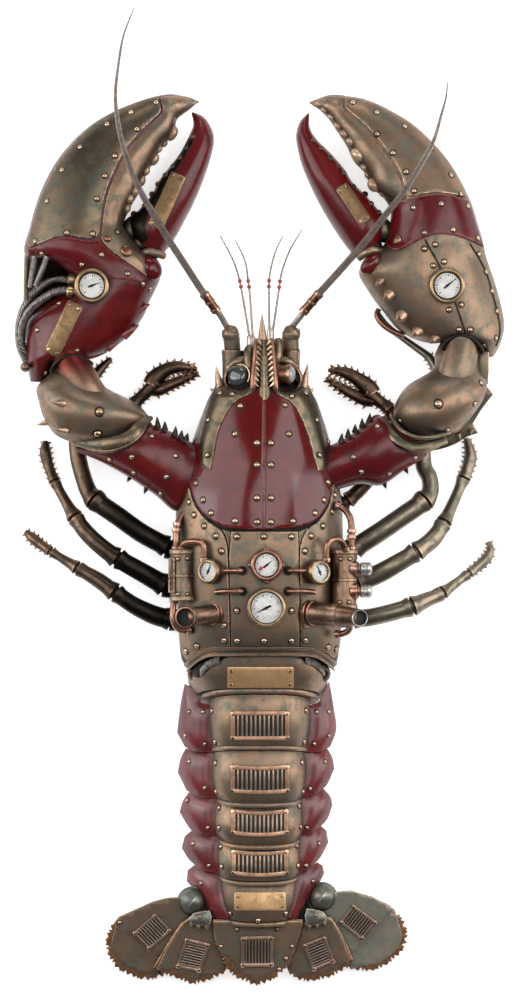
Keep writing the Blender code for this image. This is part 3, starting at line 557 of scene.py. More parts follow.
# Rostrum. A beak of dark green bronze between the eyes that runs out to a spike, with two rows of
# copper teeth along its top and a worn copper flange on each side. Cast, then filed.
def turned(bm, foot, axis, profile, sides=24):
    """Adds a turned solid on an axis, from a profile of (distance along it, radius)."""
    axis = Vector(axis).normalized()
    side = axis.cross(Vector((0.0, 1.0, 0.0)))
    if side.length < 0.05:
        side = Vector((1.0, 0.0, 0.0))
    side.normalize()
    up = side.cross(axis)
    ribs = [(foot + axis * d / 1000, side * r / 1000, up * r / 1000) for d, r in profile]
    return loft(bm, ribs, section(sides))


def run(bm, path, ring, flat=1.0, twist=0.0):
    """Adds a rod along a path of (x, y, height, radius), carried round bends without twisting."""
    points = [at(*stop[:3]) for stop in path]
    side = None
    ribs = []
    for i, point in enumerate(points):
        forward = (points[min(i + 1, len(points) - 1)] - points[max(i - 1, 0)]).normalized()
        if side is None:
            side = forward.cross(Vector((0.0, 0.0, 1.0)))
            if side.length < 0.05:
                side = Vector((1.0, 0.0, 0.0))
        side = (side - forward * side.dot(forward)).normalized()
        across = side * path[i][3] / 1000
        up = side.cross(forward) * path[i][3] * flat / 1000
        if twist:
            turn = Matrix.Rotation(twist * i, 3, forward)
            across, up = turn @ across, turn @ up
        ribs.append((point, across, up))
    return loft(bm, ribs, ring)


def cone(bm, base, tip, radius, sides=8, bend=0.0):
    """Adds a pointed tooth from a base point to a tip, both in drawing millimetres."""
    middle = [(a + b) / 2 for a, b in zip(base, tip)]
    middle[2] += bend
    path = [(*base, radius), (*middle, radius * 0.6), (*tip, radius * 0.08)]
    run(bm, path, section(sides))


verdigris = finish(
    "green_bronze", [(0.11, 0.092, 0.064), (0.15, 0.108, 0.07), (0.06, 0.078, 0.06)],
    (0.012, 0.016, 0.012), (0.5, 0.33, 0.22), (0.36, 0.5),
)
copper = finish(
    "copper_tube", [(0.19, 0.085, 0.052), (0.24, 0.115, 0.075), (0.11, 0.058, 0.04)],
    (0.02, 0.012, 0.009), (0.55, 0.34, 0.25), (0.28, 0.42),
)
ROUND_8 = section(8)
ROUND_12 = section(12)
ROUND_24 = section(24)

ROSTRUM = [
    (-9.5, 100, 8.5, 100, 66, 93), (-9.5, 108, 8.5, 108, 66, 93), (-9, 118, 8, 118, 66, 92.5),
    (-8.5, 140, 7, 140, 66, 90), (-7.8, 155, 5.5, 155, 68, 86), (-7, 160, 4, 160, 70, 84),
]
shell("rostrum_beam", ROSTRUM, 6, ROUND_24, verdigris, "aged_bronze", "rostrum")
tip = bmesh.new()
cone(tip, (-2.4, 155, 77), (-3, 186, 76), 5.4, 16)
piece("rostrum_spike", tip, bronze, "aged_bronze")
flanges = bmesh.new()
teeth = bmesh.new()
middle = -0.8
for side in (-1, 1):
    flange = [
        (middle + side * 12.4, 101, 88, 0.6), (middle + side * 11.8, 107, 89.4, 2.0),
        (middle + side * 11, 113, 90, 3.2), (middle + side * 10.1, 121, 89.2, 3.8),
        (middle + side * 8.8, 135, 86.6, 3.5), (middle + side * 7.6, 150, 84, 3.2),
        (middle + side * 6.4, 161, 81, 2.6),
    ]
    run(flanges, course(flange, 5), ROUND_12, 0.8)
    for i in range(9):
        y = 158 - i * 5.2
        reach = 5.6 + 0.42 * i
        foot = (middle + side * reach, y, 86 + 0.62 * i)
        point = (middle + side * (reach - 3.6), y - 3.6, 90.5 + 0.5 * i)
        cone(teeth, foot, point, 2.0, 8)
piece("rostrum_flanges", flanges, copper, "copper_tube")
piece("rostrum_teeth", teeth, rivet_metal, "copper_tube")
ridge = bmesh.new()
run(ridge, course(
    [(-0.9, 100, 93.4, 0.9), (-0.9, 125, 92.6, 0.9), (-1.2, 150, 87.6, 0.8), (-1.4, 158, 85, 0.6)], 6,
), ROUND_8)
piece("rostrum_ridge", ridge, bronze, "aged_bronze")


# Cheek bars. Rounded bronze straps, pointed at their lower ends, that curve from the brow over each
# eye down across the shields. Cast bronze, green in the grooves beside them.
def raised(points, thick, name, material, slot, ground, **more):
    """A fitted plate over a closed outline of plan points."""
    return fitted(name, flow(points, 2.5), ground, thick, material, slot, **more)


CHEEK_LEFT = [
    (-48, 114.5), (-40, 113.5), (-31, 109.5), (-22, 108.5), (-14.5, 113), (-13.5, 106.5), (-20, 103),
    (-27, 99.5), (-33, 94), (-40, 83), (-46, 69), (-49.5, 55), (-51.5, 42), (-54, 30), (-62, 31.5),
    (-65, 45), (-65, 60), (-62, 75), (-58, 90), (-53, 104),
]
CHEEK_RIGHT = [
    (43, 114.5), (34, 113), (27, 109), (19, 108), (12.5, 112.5), (11.5, 106), (17, 102.5), (24, 98.5),
    (30, 92), (36, 81), (42, 66), (46.5, 51), (49.5, 39), (52.5, 29), (60, 31.5), (60.5, 46), (59.5, 60),
    (56, 77), (52, 92), (47, 105),
]
outside = over(barrel, shield_left, shield_right)
cheek_left = raised(
    CHEEK_LEFT, 1.6, "cheek_bar_left", verdigris, "aged_bronze", outside, crown=3.4, crown_reach=7, lip=0.7,
    cell=3,
)
cheek_right = raised(
    CHEEK_RIGHT, 1.6, "cheek_bar_right", verdigris, "aged_bronze", outside, crown=3.4, crown_reach=7,
    lip=0.7, cell=3,
)
spikes = bmesh.new()
for base, tip, thickness in (
    ((-45, 112, 62), (-49, 134, 64), 4.6), ((38.5, 112, 62), (43, 137, 64), 4.6),
    ((-50, 107, 60), (-55, 112, 60), 2.6), ((44, 107, 60), (49, 112, 60), 2.6),
):
    cone(spikes, base, tip, thickness, 12)
piece("cheek_spikes", spikes, bronze, "aged_bronze")
rivets("cheek_rivets", [
    (-45, 107), (-57, 80), (-58, 45), (41, 107), (52, 80), (55, 45), (-33, 106), (27, 104),
], over(cheek_left, cheek_right, barrel), rivet_metal, "aged_bronze", 2.6)


# Eyes. The left one is a domed dark lens in a brass ring, looking up and out; the right one is a
# copper barrel with a paler lens on its outer end. Turned parts, pressed into dark sockets.
dark = finish(
    "dark_bronze", [(0.032, 0.024, 0.018), (0.055, 0.038, 0.026), (0.02, 0.02, 0.016)],
    (0.008, 0.007, 0.006), (0.34, 0.21, 0.13), (0.3, 0.46),
)
brass = finish(
    "brass", [(0.3, 0.185, 0.085), (0.37, 0.24, 0.12), (0.19, 0.12, 0.06)],
    (0.04, 0.03, 0.016), (0.66, 0.47, 0.29), (0.24, 0.38),
)


def plain(name, colour, rough, metallic=0.0, coat=0.0, painted_glow=0.0):
    """A simple finish with only a faint clouding in its tone."""
    material = bpy.data.materials.new(name)
    material.use_nodes = True
    tree = material.node_tree
    shader = tree.nodes["Principled BSDF"]
    cloud = use(tree, clouding, Scale=90.0, Low=0.4, High=0.7)
    deeper = tuple(channel * 0.7 for channel in colour)
    tree.links.new(tint(tree, cloud, colour, deeper), shader.inputs["Base Color"])
    shader.inputs["Roughness"].default_value = rough
    shader.inputs["Metallic"].default_value = metallic
    shader.inputs["Coat Weight"].default_value = coat
    shader.inputs["Emission Color"].default_value = (*colour, 1.0)
    shader.inputs["Emission Strength"].default_value = painted_glow
    return material


dark_lens = plain("lens_glass", (0.035, 0.04, 0.042), 0.08, coat=0.6)
pale_lens = plain("pale_lens", (0.32, 0.33, 0.3), 0.12, coat=0.6)
eyes = bmesh.new()
turned(eyes, at(-27, 124, 74), (-0.45, 0.2, 0.87), [
    (-8, 11), (0, 11), (1.5, 10.8), (3.5, 9.6), (5, 7.6), (6, 4.6), (6.4, 1.5),
], 32)
piece("left_lens", eyes, dark_lens, "lens_glass", "eye_left")
ring = bmesh.new()
turned(ring, at(-25.5, 123.5, 74), (-0.45, 0.2, 0.87), [
    (-9, 12.8), (-4, 12.8), (-3.6, 14), (-1.4, 14), (-1, 13), (0.6, 12.8), (1.4, 12.2), (1.4, 11.2),
    (-2, 11.0),
], 32)
piece("left_eye_ring", ring, brass, "brass")
barrel_eye = bmesh.new()
turned(barrel_eye, at(11, 125, 76), (1, 0.02, 0.3), [
    (-3, 9.5), (2, 9.8), (2.4, 10.6), (5, 10.6), (5.4, 9.8), (12, 9.8), (12.4, 10.4), (15, 10.4), (16, 9.6),
    (16, 8.2), (14.5, 8),
], 32)
piece("right_eye_barrel", barrel_eye, copper, "copper_tube")
lens = bmesh.new()
turned(lens, at(11, 125, 76), (1, 0.02, 0.3), [(8, 8.1), (15, 8.1), (17.5, 7.2), (19, 5), (19.8, 2)], 32)
piece("right_lens", lens, pale_lens, "lens_glass", "eye_right")
blocks = bmesh.new()
for path in (
    [
        (-14.5, 124, 70, 4.5), (-15.5, 132, 71, 5.4), (-16, 142, 69, 5.8), (-15.5, 150, 66, 5.2),
        (-15, 153, 64, 3.6),
    ],
    [(10.5, 136, 70, 3.6), (12, 142, 70, 4.6), (13, 150, 68, 4.8), (13, 158, 66, 4.2), (12.5, 161, 65, 3)],
    [(-36, 132, 62, 4), (-28, 138, 66, 4.6), (-20, 140, 66, 4)],
    [(31, 133, 62, 4), (24, 138, 66, 4.6), (16, 140, 66, 4)],
):
    run(blocks, course(path, 4), ROUND_12)
piece("head_fittings", blocks, verdigris, "aged_bronze")
sockets = bmesh.new()
for x, y in ((-27, 121), (23, 121)):
    turned(sockets, at(x, y, 66), (0, 0, 1), [
        (-6, 15), (4, 15), (6, 14), (6.6, 12.4), (4, 11.6), (0, 11),
    ], 32)
piece("eye_sockets", sockets, dark, "dark_bronze")


# Antennae. Each rises from a jointed bronze socket as a plain rod, through a copper collar, into a
# steel gooseneck that thins to a whip. Between them two pairs of wire feelers carry red beads.
steel = finish(
    "wire_steel", [(0.1, 0.088, 0.081), (0.15, 0.132, 0.122), (0.055, 0.046, 0.041)],
    (0.005, 0.004, 0.004), (0.4, 0.36, 0.33), (0.4, 0.52), size=60.0, dirt_and_shade=1.0,
)
whip_metal = finish(
    "whip_bronze", [(0.26, 0.22, 0.195), (0.34, 0.295, 0.265), (0.16, 0.13, 0.11)],
    (0.06, 0.05, 0.045), (0.6, 0.52, 0.46), (0.34, 0.46), metallic=0.8, size=60.0, dirt_and_shade=0.4,
)
SOCKETS = {
    "left": (
        [(-31, 112, 48, 10.5), (-31.5, 122, 48, 11), (-32.3, 140, 48, 10.6), (-32.5, 149.5, 48, 11.4)],
        [
            (-32.4, 149, 49, 7.6), (-32.6, 152, 49.5, 8.2), (-33.4, 161, 51, 8.4), (-34, 164, 52, 8.4),
            (-34.2, 165, 52, 9.2), (-34.2, 167, 52.2, 9.2), (-33.8, 168.4, 52.2, 8), (-33, 172, 52.3, 6.4),
            (-32.4, 174.6, 52.4, 3.4),
        ],
        [((-38, 140, 50), (-42.5, 151.5, 54), 3.4), ((-38, 162, 52), (-43.5, 168.5, 55), 3.0)],
    ),
    "right": ([(25, 112, 48, 9.5), (25.5, 122, 48, 9.6), (26, 140, 48, 8.8), (26.5, 149.5, 48, 9.4)], [
        (25.6, 149, 49, 7.8), (25.4, 152, 49.5, 8.6), (25.2, 161, 51, 8.6), (25.6, 164, 52, 8.6),
        (26, 165, 52, 9.4), (26, 167.4, 52.2, 9.4), (25.6, 168.6, 52.2, 8.2), (25, 172, 52.3, 6.4),
        (24.6, 174.8, 52.4, 3.4),
    ], [((32, 140, 50), (34.5, 151.5, 54), 3.2), ((31, 163, 52), (35.5, 170, 54), 2.8)]),
}
ANTENNAE = {
    "left": [
        (-35, 168, 50, 3.4), (-38, 173, 51, 3.3), (-45, 185, 56, 3.3), (-50, 191, 59, 3.4),
        (-55, 198, 62, 4), (-65, 212, 69, 4), (-80, 235, 77, 4), (-95, 258, 84, 4), (-108, 280, 89, 3.8),
        (-120, 300, 93, 3.6), (-131, 322, 97, 3.4), (-139, 345, 101, 3.1), (-144.5, 365, 104, 2.8),
        (-148, 386, 107, 2.5), (-149, 407, 111, 2.2), (-146, 434, 116, 1.8), (-141, 462, 122, 1.4),
        (-130.4, 489.6, 129.6, 0.9),
    ],
    "right": [
        (25, 168, 50, 3.4), (27, 173, 51, 3.3), (35, 183, 56, 3.3), (40, 190, 59, 3.4), (46, 198, 62, 4),
        (60, 213, 69, 4), (80, 235, 77, 4), (100, 258, 84, 4), (120, 284, 91, 3.7), (140, 310, 96, 3.3),
        (155, 334, 101, 2.9), (168, 358, 107, 2.4), (176, 385, 114, 1.7), (180, 400, 118, 1.3),
        (182, 416, 122, 0.8),
    ],
}


def evenly(path, gap):
    """Stops spaced evenly along a smooth path, gap millimetres apart."""
    fine = np.array(course(path, 24))
    walked = np.concatenate([[0], np.cumsum(np.linalg.norm(np.diff(fine[:, :3], axis=0), axis=1))])
    marks = np.linspace(0, walked[-1], max(2, round(walked[-1] / gap) + 1))
    return [tuple(np.interp(mark, walked, fine[:, k]) for k in range(fine.shape[1])) for mark in marks]


SLEEVE = (-0.12, -0.1, 0.04, 0.06, 0.3, 0.32, 0.38, 0.4, 0.6, 0.62, 0.72, 0.74)
for side, (lower, upper, points) in SOCKETS.items():
    socket = bmesh.new()
    run(socket, course(lower, 4), ROUND_24)
    run(socket, course(upper, 4), ROUND_24)
    for base, tip, thickness in points:
        cone(socket, base, tip, thickness, 10)
    piece(f"antenna_socket_{side}", socket, bronze, "dark_bronze", f"antenna_socket_{side}")
    whip = bmesh.new()
    stops = evenly(ANTENNAE[side], 0.62)
    ribbed = []
    for i, (x, y, z, r) in enumerate(stops):
        swell = (1.0, 0.74)[i % 2] if i > 56 else 1.0
        ribbed.append((x, y, z, r * swell))
    run(whip, ribbed, section(10))
    piece(f"antenna_{side}", whip, whip_metal, "wire_steel", f"antenna_{side}", sharp=28)
    collar = bmesh.new()
    start = ANTENNAE[side][3]
    end = ANTENNAE[side][5]
    along = [tuple(a + (b - a) * share for a, b in zip(start, end)) for share in SLEEVE]
    widths = (4.6, 5.3, 5.3, 4.7, 4.7, 5.3, 5.3, 4.7, 4.7, 5.3, 5.3, 4.5)
    run(collar, [(*spot[:3], width) for spot, width in zip(along, widths)], ROUND_12)
    piece(f"antenna_collar_{side}", collar, copper, "copper_tube")

FEELER_ROOTS = {
    "left": [(-14, 138, 57, 4.6), (-14, 152, 58, 4.6), (-14, 163, 59, 4.2), (-14, 165, 59, 3)],
    "right": [(5.5, 138, 57, 4), (5.5, 152, 58, 4), (5.5, 170, 59.5, 3.6), (5.5, 172, 60, 2.6)],
}
FEELERS = {
    "left": [
        [
            (-15, 160, 60, 1.3), (-21, 196, 66, 1.2), (-26, 222, 71, 1.1), (-33, 242, 76, 0.9),
            (-45, 264, 82, 0.6),
        ],
        [
            (-12, 160, 60, 1.3), (-15, 204, 67, 1.2), (-17, 220, 70, 1.1), (-20, 239, 74, 0.9),
            (-30, 260, 80, 0.6),
        ],
    ],
    "right": [
        [
            (4.5, 164, 60, 1.3), (4, 204, 67, 1.2), (4.5, 224, 70, 1.1), (10, 247, 76, 0.9),
            (18, 264, 82, 0.6),
        ],
        [
            (7, 164, 60, 1.3), (13, 204, 68, 1.2), (16.6, 227, 72, 1.1), (25, 250, 77, 0.9),
            (37, 270, 84, 0.6),
        ],
    ],
}
red_bead = plain("red_bead", (0.28, 0.02, 0.012), 0.22, coat=0.5)
beads = bmesh.new()
for side, wires in FEELERS.items():
    feeler = bmesh.new()
    run(feeler, FEELER_ROOTS[side], ROUND_12)
    for wire in wires:
        run(feeler, evenly(wire, 4), ROUND_8)
        for level in (213, 219):
            spot = at(*min(evenly(wire, 1), key=lambda stop: abs(stop[1] - level))[:3])
            bmesh.ops.create_uvsphere(
                beads, u_segments=10, v_segments=7, radius=0.0023, matrix=Matrix.Translation(spot)
            )
    piece(f"feelers_{side}", feeler, whip_metal, "wire_steel", f"feelers_{side}")
piece("feeler_beads", beads, red_bead, "oxblood_enamel")


# Flank plates and back panel. Bronze sheets riveted over the rear of the barrel; the flanks wrap
# round behind the shields, and the panel between them carries the two upright dials.
FLANK_LEFT = [
    (-80.5, 30), (-77.5, 22), (-72, 1), (-67, -9), (-59, -19), (-50.5, -25.5), (-44, -30), (-40, -37.5),
    (-37.5, -47), (-36.8, -59), (-35.6, -100), (-34.6, -146.4), (-48, -146.4), (-56, -147.6), (-67, -152),
    (-77.5, -160), (-82.5, -150), (-85.5, -129), (-87.5, -80), (-88.5, -30), (-86.5, 0),
]
FLANK_RIGHT = [
    (69.5, 32), (75.5, 0), (77, -30), (76.3, -80), (75, -129), (73, -150), (68, -158), (60, -152),
    (50, -147.6), (42, -146.4), (35.6, -146.4), (35.2, -100), (34.4, -53), (36, -42), (39.5, -33),
    (44.5, -27), (52, -22), (60, -11), (64.3, -1), (67, 16),
]
PANEL = [
    (-33.4, -146.4), (34.2, -146.4), (34, -100), (33.2, -53), (32.6, -31.6), (-33.8, -31.6), (-35.4, -59),
    (-34.4, -100),
]
CORNERS = [
    [(-36, -48), (-35, -31.6), (-42.5, -29.6), (-39, -36), (-37, -43)],
    [(34.2, -48), (33.8, -31.6), (43, -28), (38.2, -33.6), (35.4, -42)],
]
flank_left = raised(FLANK_LEFT, 1.7, "flank_plate_left", bronze, "aged_bronze", over(barrel), lip=1.0)
flank_right = raised(FLANK_RIGHT, 1.7, "flank_plate_right", bronze, "aged_bronze", over(barrel), lip=1.0)
panel = fitted("back_panel", PANEL, over(barrel), 1.2, bronze, "aged_bronze", lip=0.7, cell=4)
for side, corner in zip(("left", "right"), CORNERS):
    fitted(f"panel_corner_{side}", corner, over(barrel), 0.4, verdigris, "aged_bronze", lip=0.4, cell=5)
back = over(barrel, shield_left, shield_right, flank_left, flank_right, panel)
rivets("flank_rivets", [
    (-79, 14), (-76, -2), (-71, -15), (-61, -26), (-49, -36), (-43.5, -51), (-41, -140), (-68, -146),
    (-79, -151), (-41, -125), (70, 5), (67, -12), (58, -26), (46, -36), (40, -51), (40.5, -140), (63, -147),
    (71, -149), (40.5, -125), (-28, -36.5), (-1, -36.5), (26.5, -36.5), (-28, -140.5), (-1, -140.5),
    (26.5, -140.5), (-28, -110.5), (26.5, -110.5),
], back, rivet_metal, "aged_bronze", 2.9)


# Dial gauges. Four pressure gauges with spun brass or copper cases, white dials and steel pointers,
# two upright on the back panel and two leaning outwards from its sides.
# The dial faces glow faintly: painted light that keeps them white.
dial_white = plain("dial_white", (0.86, 0.84, 0.8), 0.5, painted_glow=0.12)
# Near black: the own colour of the dial marks and pointers, and painted shade in the vent mouths and exhaust
# bores.
black = plain("black_and_painted_shade", (0.004, 0.004, 0.004), 0.7)
red = plain("pointer_red", (0.5, 0.02, 0.01), 0.4)
glass = bpy.data.materials.new("gauge_glass")
glass.use_nodes = True
glass.node_tree.nodes["Principled BSDF"].inputs["Transmission Weight"].default_value = 1.0
glass.node_tree.nodes["Principled BSDF"].inputs["Roughness"].default_value = 0.03
glass.node_tree.nodes["Principled BSDF"].inputs["IOR"].default_value = 1.06


def strip(bm, frame_at, points, height, thick):
    """Adds a thin flat bar with a plan outline in a local frame, its top at a height."""
    face = bm.faces.new([bm.verts.new(frame_at @ Vector((x, y, height)) ) for x, y in points])
    made = bmesh.ops.extrude_face_region(bm, geom=[face], use_keep_orig=True)["geom"]
    moved = [item for item in made if isinstance(item, bmesh.types.BMVert)]
    drop = frame_at.to_3x3() @ Vector((0, 0, -thick))
    bmesh.ops.translate(bm, verts=moved, vec=drop)


def gauge(name, foot, axis, radius, rise, bezel, dial, pointer, case, slot, *stands_for, ticks=20):
    """A case with a bezel, a white dial with its marks, a pointer and a glass."""
    axis = Vector(axis).normalized()
    right = (Vector((1, 0, 0)) - axis * axis.x).normalized()
    upright = Matrix((right, axis.cross(right), axis)).transposed().to_4x4()
    face_at = Matrix.Translation(foot) @ upright @ Matrix.Scale(0.001, 4)
    bm = bmesh.new()
    wall = radius * 0.9
    turned(bm, foot, axis, [
        (-8, wall), (rise - 6, wall), (rise - 5.6, radius - 0.6), (rise - 5, radius), (rise - 2.2, radius),
        (rise - 1.2, radius - 0.4), (rise - 0.2, radius - 1.6), (rise, radius - 2.6),
        (rise - 0.3, radius - 3.4), (rise - 1.6, radius - bezel + 0.5), (rise - 3.2, radius - bezel),
    ], 40)
    piece(name, bm, case, slot, *stands_for, sharp=32)
    bm = bmesh.new()
    turned(bm, foot, axis, [(rise - 4, dial), (rise - 2.9, dial), (rise - 2.7, dial - 0.3)], 40)
    piece(name + "_dial", bm, dial_white, "dial_white")
    marks = bmesh.new()
    for i in range(ticks):
        angle = radians(225 - i * 270 / (ticks - 1))
        long, wide = (0.2, 0.42) if i % 4 == 0 else (0.12, 0.26)
        out = Vector((cos(angle), sin(angle)))
        off = Vector((-out.y, out.x)) * wide
        a, b = out * dial * 0.93, out * dial * (0.93 - long)
        strip(marks, face_at, [
            tuple(a + off), tuple(b + off), tuple(b - off), tuple(a - off),
        ], rise - 2.58, 0.3)
    piece(name + "_marks", marks, black, "dark_bronze")
    aim = radians(pointer)
    out = Vector((cos(aim), sin(aim)))
    off = Vector((-out.y, out.x))
    hand = bmesh.new()
    wide = 0.4 + dial * 0.045
    corners = [out * dial * 0.86, out * dial * 0.1 + off * wide, -out * dial * 0.34 + off * wide,
               -out * dial * 0.34 - off * wide, out * dial * 0.1 - off * wide]
    strip(hand, face_at, [tuple(corner) for corner in corners], rise - 1.9, 0.4)
    turned(hand, foot, axis, [(rise - 2.8, wide * 1.5), (rise - 1.6, wide * 1.5), (rise - 1.2, wide)], 14)
    piece(name + "_pointer", hand, black, "dark_bronze")
    cover = bmesh.new()
    turned(cover, foot, axis, [
        (rise - 1.5, dial + 0.6), (rise - 1.1, dial + 0.5), (rise - 0.7, dial * 0.6),
        (rise - 0.6, dial * 0.2),
    ], 40)
    piece(name + "_glass", cover, glass, "lens_glass", sharp=60)
    return face_at


worn_brass = finish(
    "worn_brass", [(0.2, 0.13, 0.07), (0.26, 0.175, 0.1), (0.12, 0.08, 0.048)],
    (0.03, 0.022, 0.013), (0.55, 0.4, 0.25), (0.3, 0.42),
)
upper = gauge(
    "gauge_upper", at(1.5, -65, 110), (0, 0, 1), 16, 9, 4.6, 11, 40, copper, "copper_tube", "gauge_upper"
)
lugs = bmesh.new()
for turn in range(4):
    angle = turn * pi / 2
    spot = (1.5 + 15.9 * cos(angle), -65 + 15.9 * sin(angle))
    turned(lugs, at(*spot, 110), (0, 0, 1), [(-4, 2.5), (5, 2.5), (6.2, 2.2), (6.8, 1.6), (7.0, 0.8)], 14)
piece("gauge_upper_lugs", lugs, copper, "copper_tube")
arrow = bmesh.new()
out = Vector((-0.86, -0.5))
off = Vector((0.5, -0.86))
head = [
    out * 9.8, out * 5.4 + off * 2.6, out * 5.4 + off * 0.8, off * 0.8, -off * 0.8, out * 5.4 - off * 0.8,
]
strip(arrow, upper, [tuple(point) for point in [*head, out * 5.4 - off * 2.6]], 6.9, 0.3)
piece("gauge_upper_red_arrow", arrow, red, "oxblood_enamel")
gauge(
    "gauge_lower", at(1.5, -107.5, 106), (0, 0, 1), 19.6, 12, 4.6, 15.2, 206, worn_brass, "brass",
    "gauge_lower", ticks=28,
)
gauge(
    "gauge_left", at(-48.5, -71, 96), (-0.55, 0, 0.835), 12.6, 17, 3.0, 9.8, 65, worn_brass, "brass",
    "gauge_left", ticks=16,
)
gauge(
    "gauge_right", at(46.5, -72, 96), (0.55, 0, 0.835), 12.6, 17, 3.0, 9.8, 115, worn_brass, "brass",
    "gauge_right", ticks=16,
)


# Canisters and exhausts. Flanged bronze cylinders lie along both shoulders, the right one with two
# steel knobs, and below each an open exhaust stub of copper tube turns up out of the flank.
bright_steel = finish(
    "bright_steel", [(0.36, 0.345, 0.33), (0.44, 0.425, 0.41), (0.24, 0.22, 0.2)],
    (0.05, 0.045, 0.04), (0.7, 0.67, 0.63), (0.36, 0.48), size=50.0,
)
brown_copper = finish(
    "brown_copper", [(0.11, 0.062, 0.042), (0.16, 0.09, 0.06), (0.06, 0.045, 0.034)],
    (0.02, 0.015, 0.012), (0.5, 0.32, 0.23), (0.36, 0.48), relief=0.05,
)
dark_copper = finish(
    "canister_copper", [(0.18, 0.105, 0.07), (0.23, 0.14, 0.095), (0.12, 0.085, 0.062)],
    (0.02, 0.018, 0.014), (0.5, 0.33, 0.24), (0.36, 0.48), relief=0.06,
)
canisters = []
for name, x, front, length, rim, wall in (
    ("canister_left", -82, -49, 52, 13.4, 12.2), ("canister_right", 79, -49, 60, 13.4, 12.2),
):
    bm = bmesh.new()
    foot = at(x, front, 80)
    turned(bm, foot, (0, -1, 0), [
        (0, rim - 2), (0.4, rim - 0.6), (1.2, rim), (4.2, rim), (5, rim - 0.5), (5.2, wall),
        (length * 0.48, wall), (length * 0.49, wall + 0.7), (length * 0.53, wall + 0.7),
        (length * 0.54, wall), (length - 5.2, wall), (length - 5, rim - 0.5), (length - 4.2, rim),
        (length - 1.2, rim), (length - 0.4, rim - 0.6), (length, rim - 2),
    ], 40)
    canisters.append(piece(name, bm, dark_copper if x > 0 else bronze, "aged_bronze", name, sharp=30))
knobs = bmesh.new()
collars = bmesh.new()
for y in (-68.6, -91):
    foot = at(79, y, 84)
    turned(collars, foot, (1, 0, 0), [(6, 8.2), (12.4, 8.2), (13, 7.6), (13.2, 6.6), (15, 6.4), (15, 4)], 24)
    knob = [
        (13, 4.6), (16, 4.6), (16.4, 5.8), (17.4, 6.5), (18.4, 6.5), (18.8, 6.1), (19.8, 6.1), (20.2, 6.5),
        (21.6, 6.5), (22, 6.1), (23, 6.1), (23.4, 6.5), (25.4, 6.4), (27, 5.4), (27.8, 3.6), (28, 1.5),
    ]
    turned(knobs, foot, (1, 0, 0), knob, 24)
piece("knob_collars", collars, copper, "copper_tube")
piece("knobs", knobs, bright_steel, "wire_steel")
ladder = bmesh.new()
for x in (-95.4, -90.6):
    run(ladder, [(x, y, 88.5 + (x + 95.4) * 0.35, 1.1) for y in (-58, -70, -80, -92)], ROUND_8)
for y in (-58.5, -69.5, -80.5, -91.5):
    run(ladder, [(-96, y, 88.2, 1.1), (-93, y, 89.2, 1.1), (-90, y, 90.4, 1.1)], ROUND_8)
piece("canister_bracket", ladder, dark, "dark_bronze")
rivets("canister_rivets", [
    (-87, -59), (-77, -58.5), (-87, -94), (-77, -94), (75, -59), (85, -59), (74, -102), (84, -102),
], over(*canisters), rivet_metal, "aged_bronze", 2.0)

exhausts = bmesh.new()
run(exhausts, [
    (-44, -113, 90, 9.6), (-52, -113.6, 97, 9.6), (-60, -114.6, 101, 9.6), (-68, -115.6, 104, 9.6),
    (-77, -116.6, 105, 9.6),
], ROUND_24)
UP_LEFT = (-0.22, -0.03, 0.97)
turned(exhausts, at(-76.5, -116.5, 104), UP_LEFT, [
    (-12, 8), (-10, 10), (-6, 10.8), (6, 10.8), (6.6, 11.6), (9.6, 11.6), (10.2, 10.8), (12, 10.6),
    (12.4, 10), (12.4, 9.2), (11, 8.8), (2, 8.6),
], 32)
piece("exhaust_left", exhausts, brown_copper, "copper_tube", "exhaust_left")
exhausts = bmesh.new()
run(exhausts, [
    (42, -112, 90, 11.4), (52, -113, 96, 11.4), (60, -113.8, 98, 11.4), (68, -114.6, 99, 11.2),
], ROUND_24)
run(exhausts, [(67, -114.5, 99, 12.2), (70.5, -114.8, 99.4, 12.2)], ROUND_24)
run(exhausts, [
    (70, -114.8, 99.4, 10.4), (78, -115.6, 100.4, 10), (86, -116.4, 101.4, 9.2), (92, -117, 102, 8.4),
], ROUND_24)
piece("exhaust_right", exhausts, brown_copper, "copper_tube", "exhaust_right")
mouth = bmesh.new()
UP_RIGHT = (0.3, -0.05, 0.95)
turned(mouth, at(91.6, -117.2, 102), UP_RIGHT, [
    (-8, 6), (-5, 7.8), (6, 8), (6.4, 8.4), (9.4, 8.4), (10.2, 8.1), (10.5, 7.8), (10.2, 7.3), (2, 7.2),
], 32)
piece("exhaust_right_mouth", mouth, bright_steel, "wire_steel")
# Black discs of painted shade down inside the two exhaust mouths.
bores = bmesh.new()
turned(bores, at(-76.5, -116.5, 104), UP_LEFT, [(1, 8.8), (5, 8.8), (5.1, 7)], 24)
turned(bores, at(91.6, -117.2, 102), UP_RIGHT, [(1, 7.4), (6, 7.4), (6.1, 5)], 24)
piece("exhaust_bores", bores, black, "dark_bronze")
flanges = bmesh.new()
turned(flanges, at(-47, -113, 91), (-0.74, -0.05, 0.67), [
    (-2, 14.8), (1.4, 14.8), (2, 14.2), (2, 12.6), (5, 12.6), (5.6, 12), (5.8, 11), (8, 11), (8.4, 10.4),
], 32)
turned(flanges, at(45, -112.5, 92), (0.8, -0.05, 0.6), [
    (-2, 14.4), (1.4, 14.4), (2, 13.8), (2, 12.8), (4.6, 12.8), (5.2, 12),
], 32)
piece("exhaust_flanges", flanges, copper, "copper_tube")


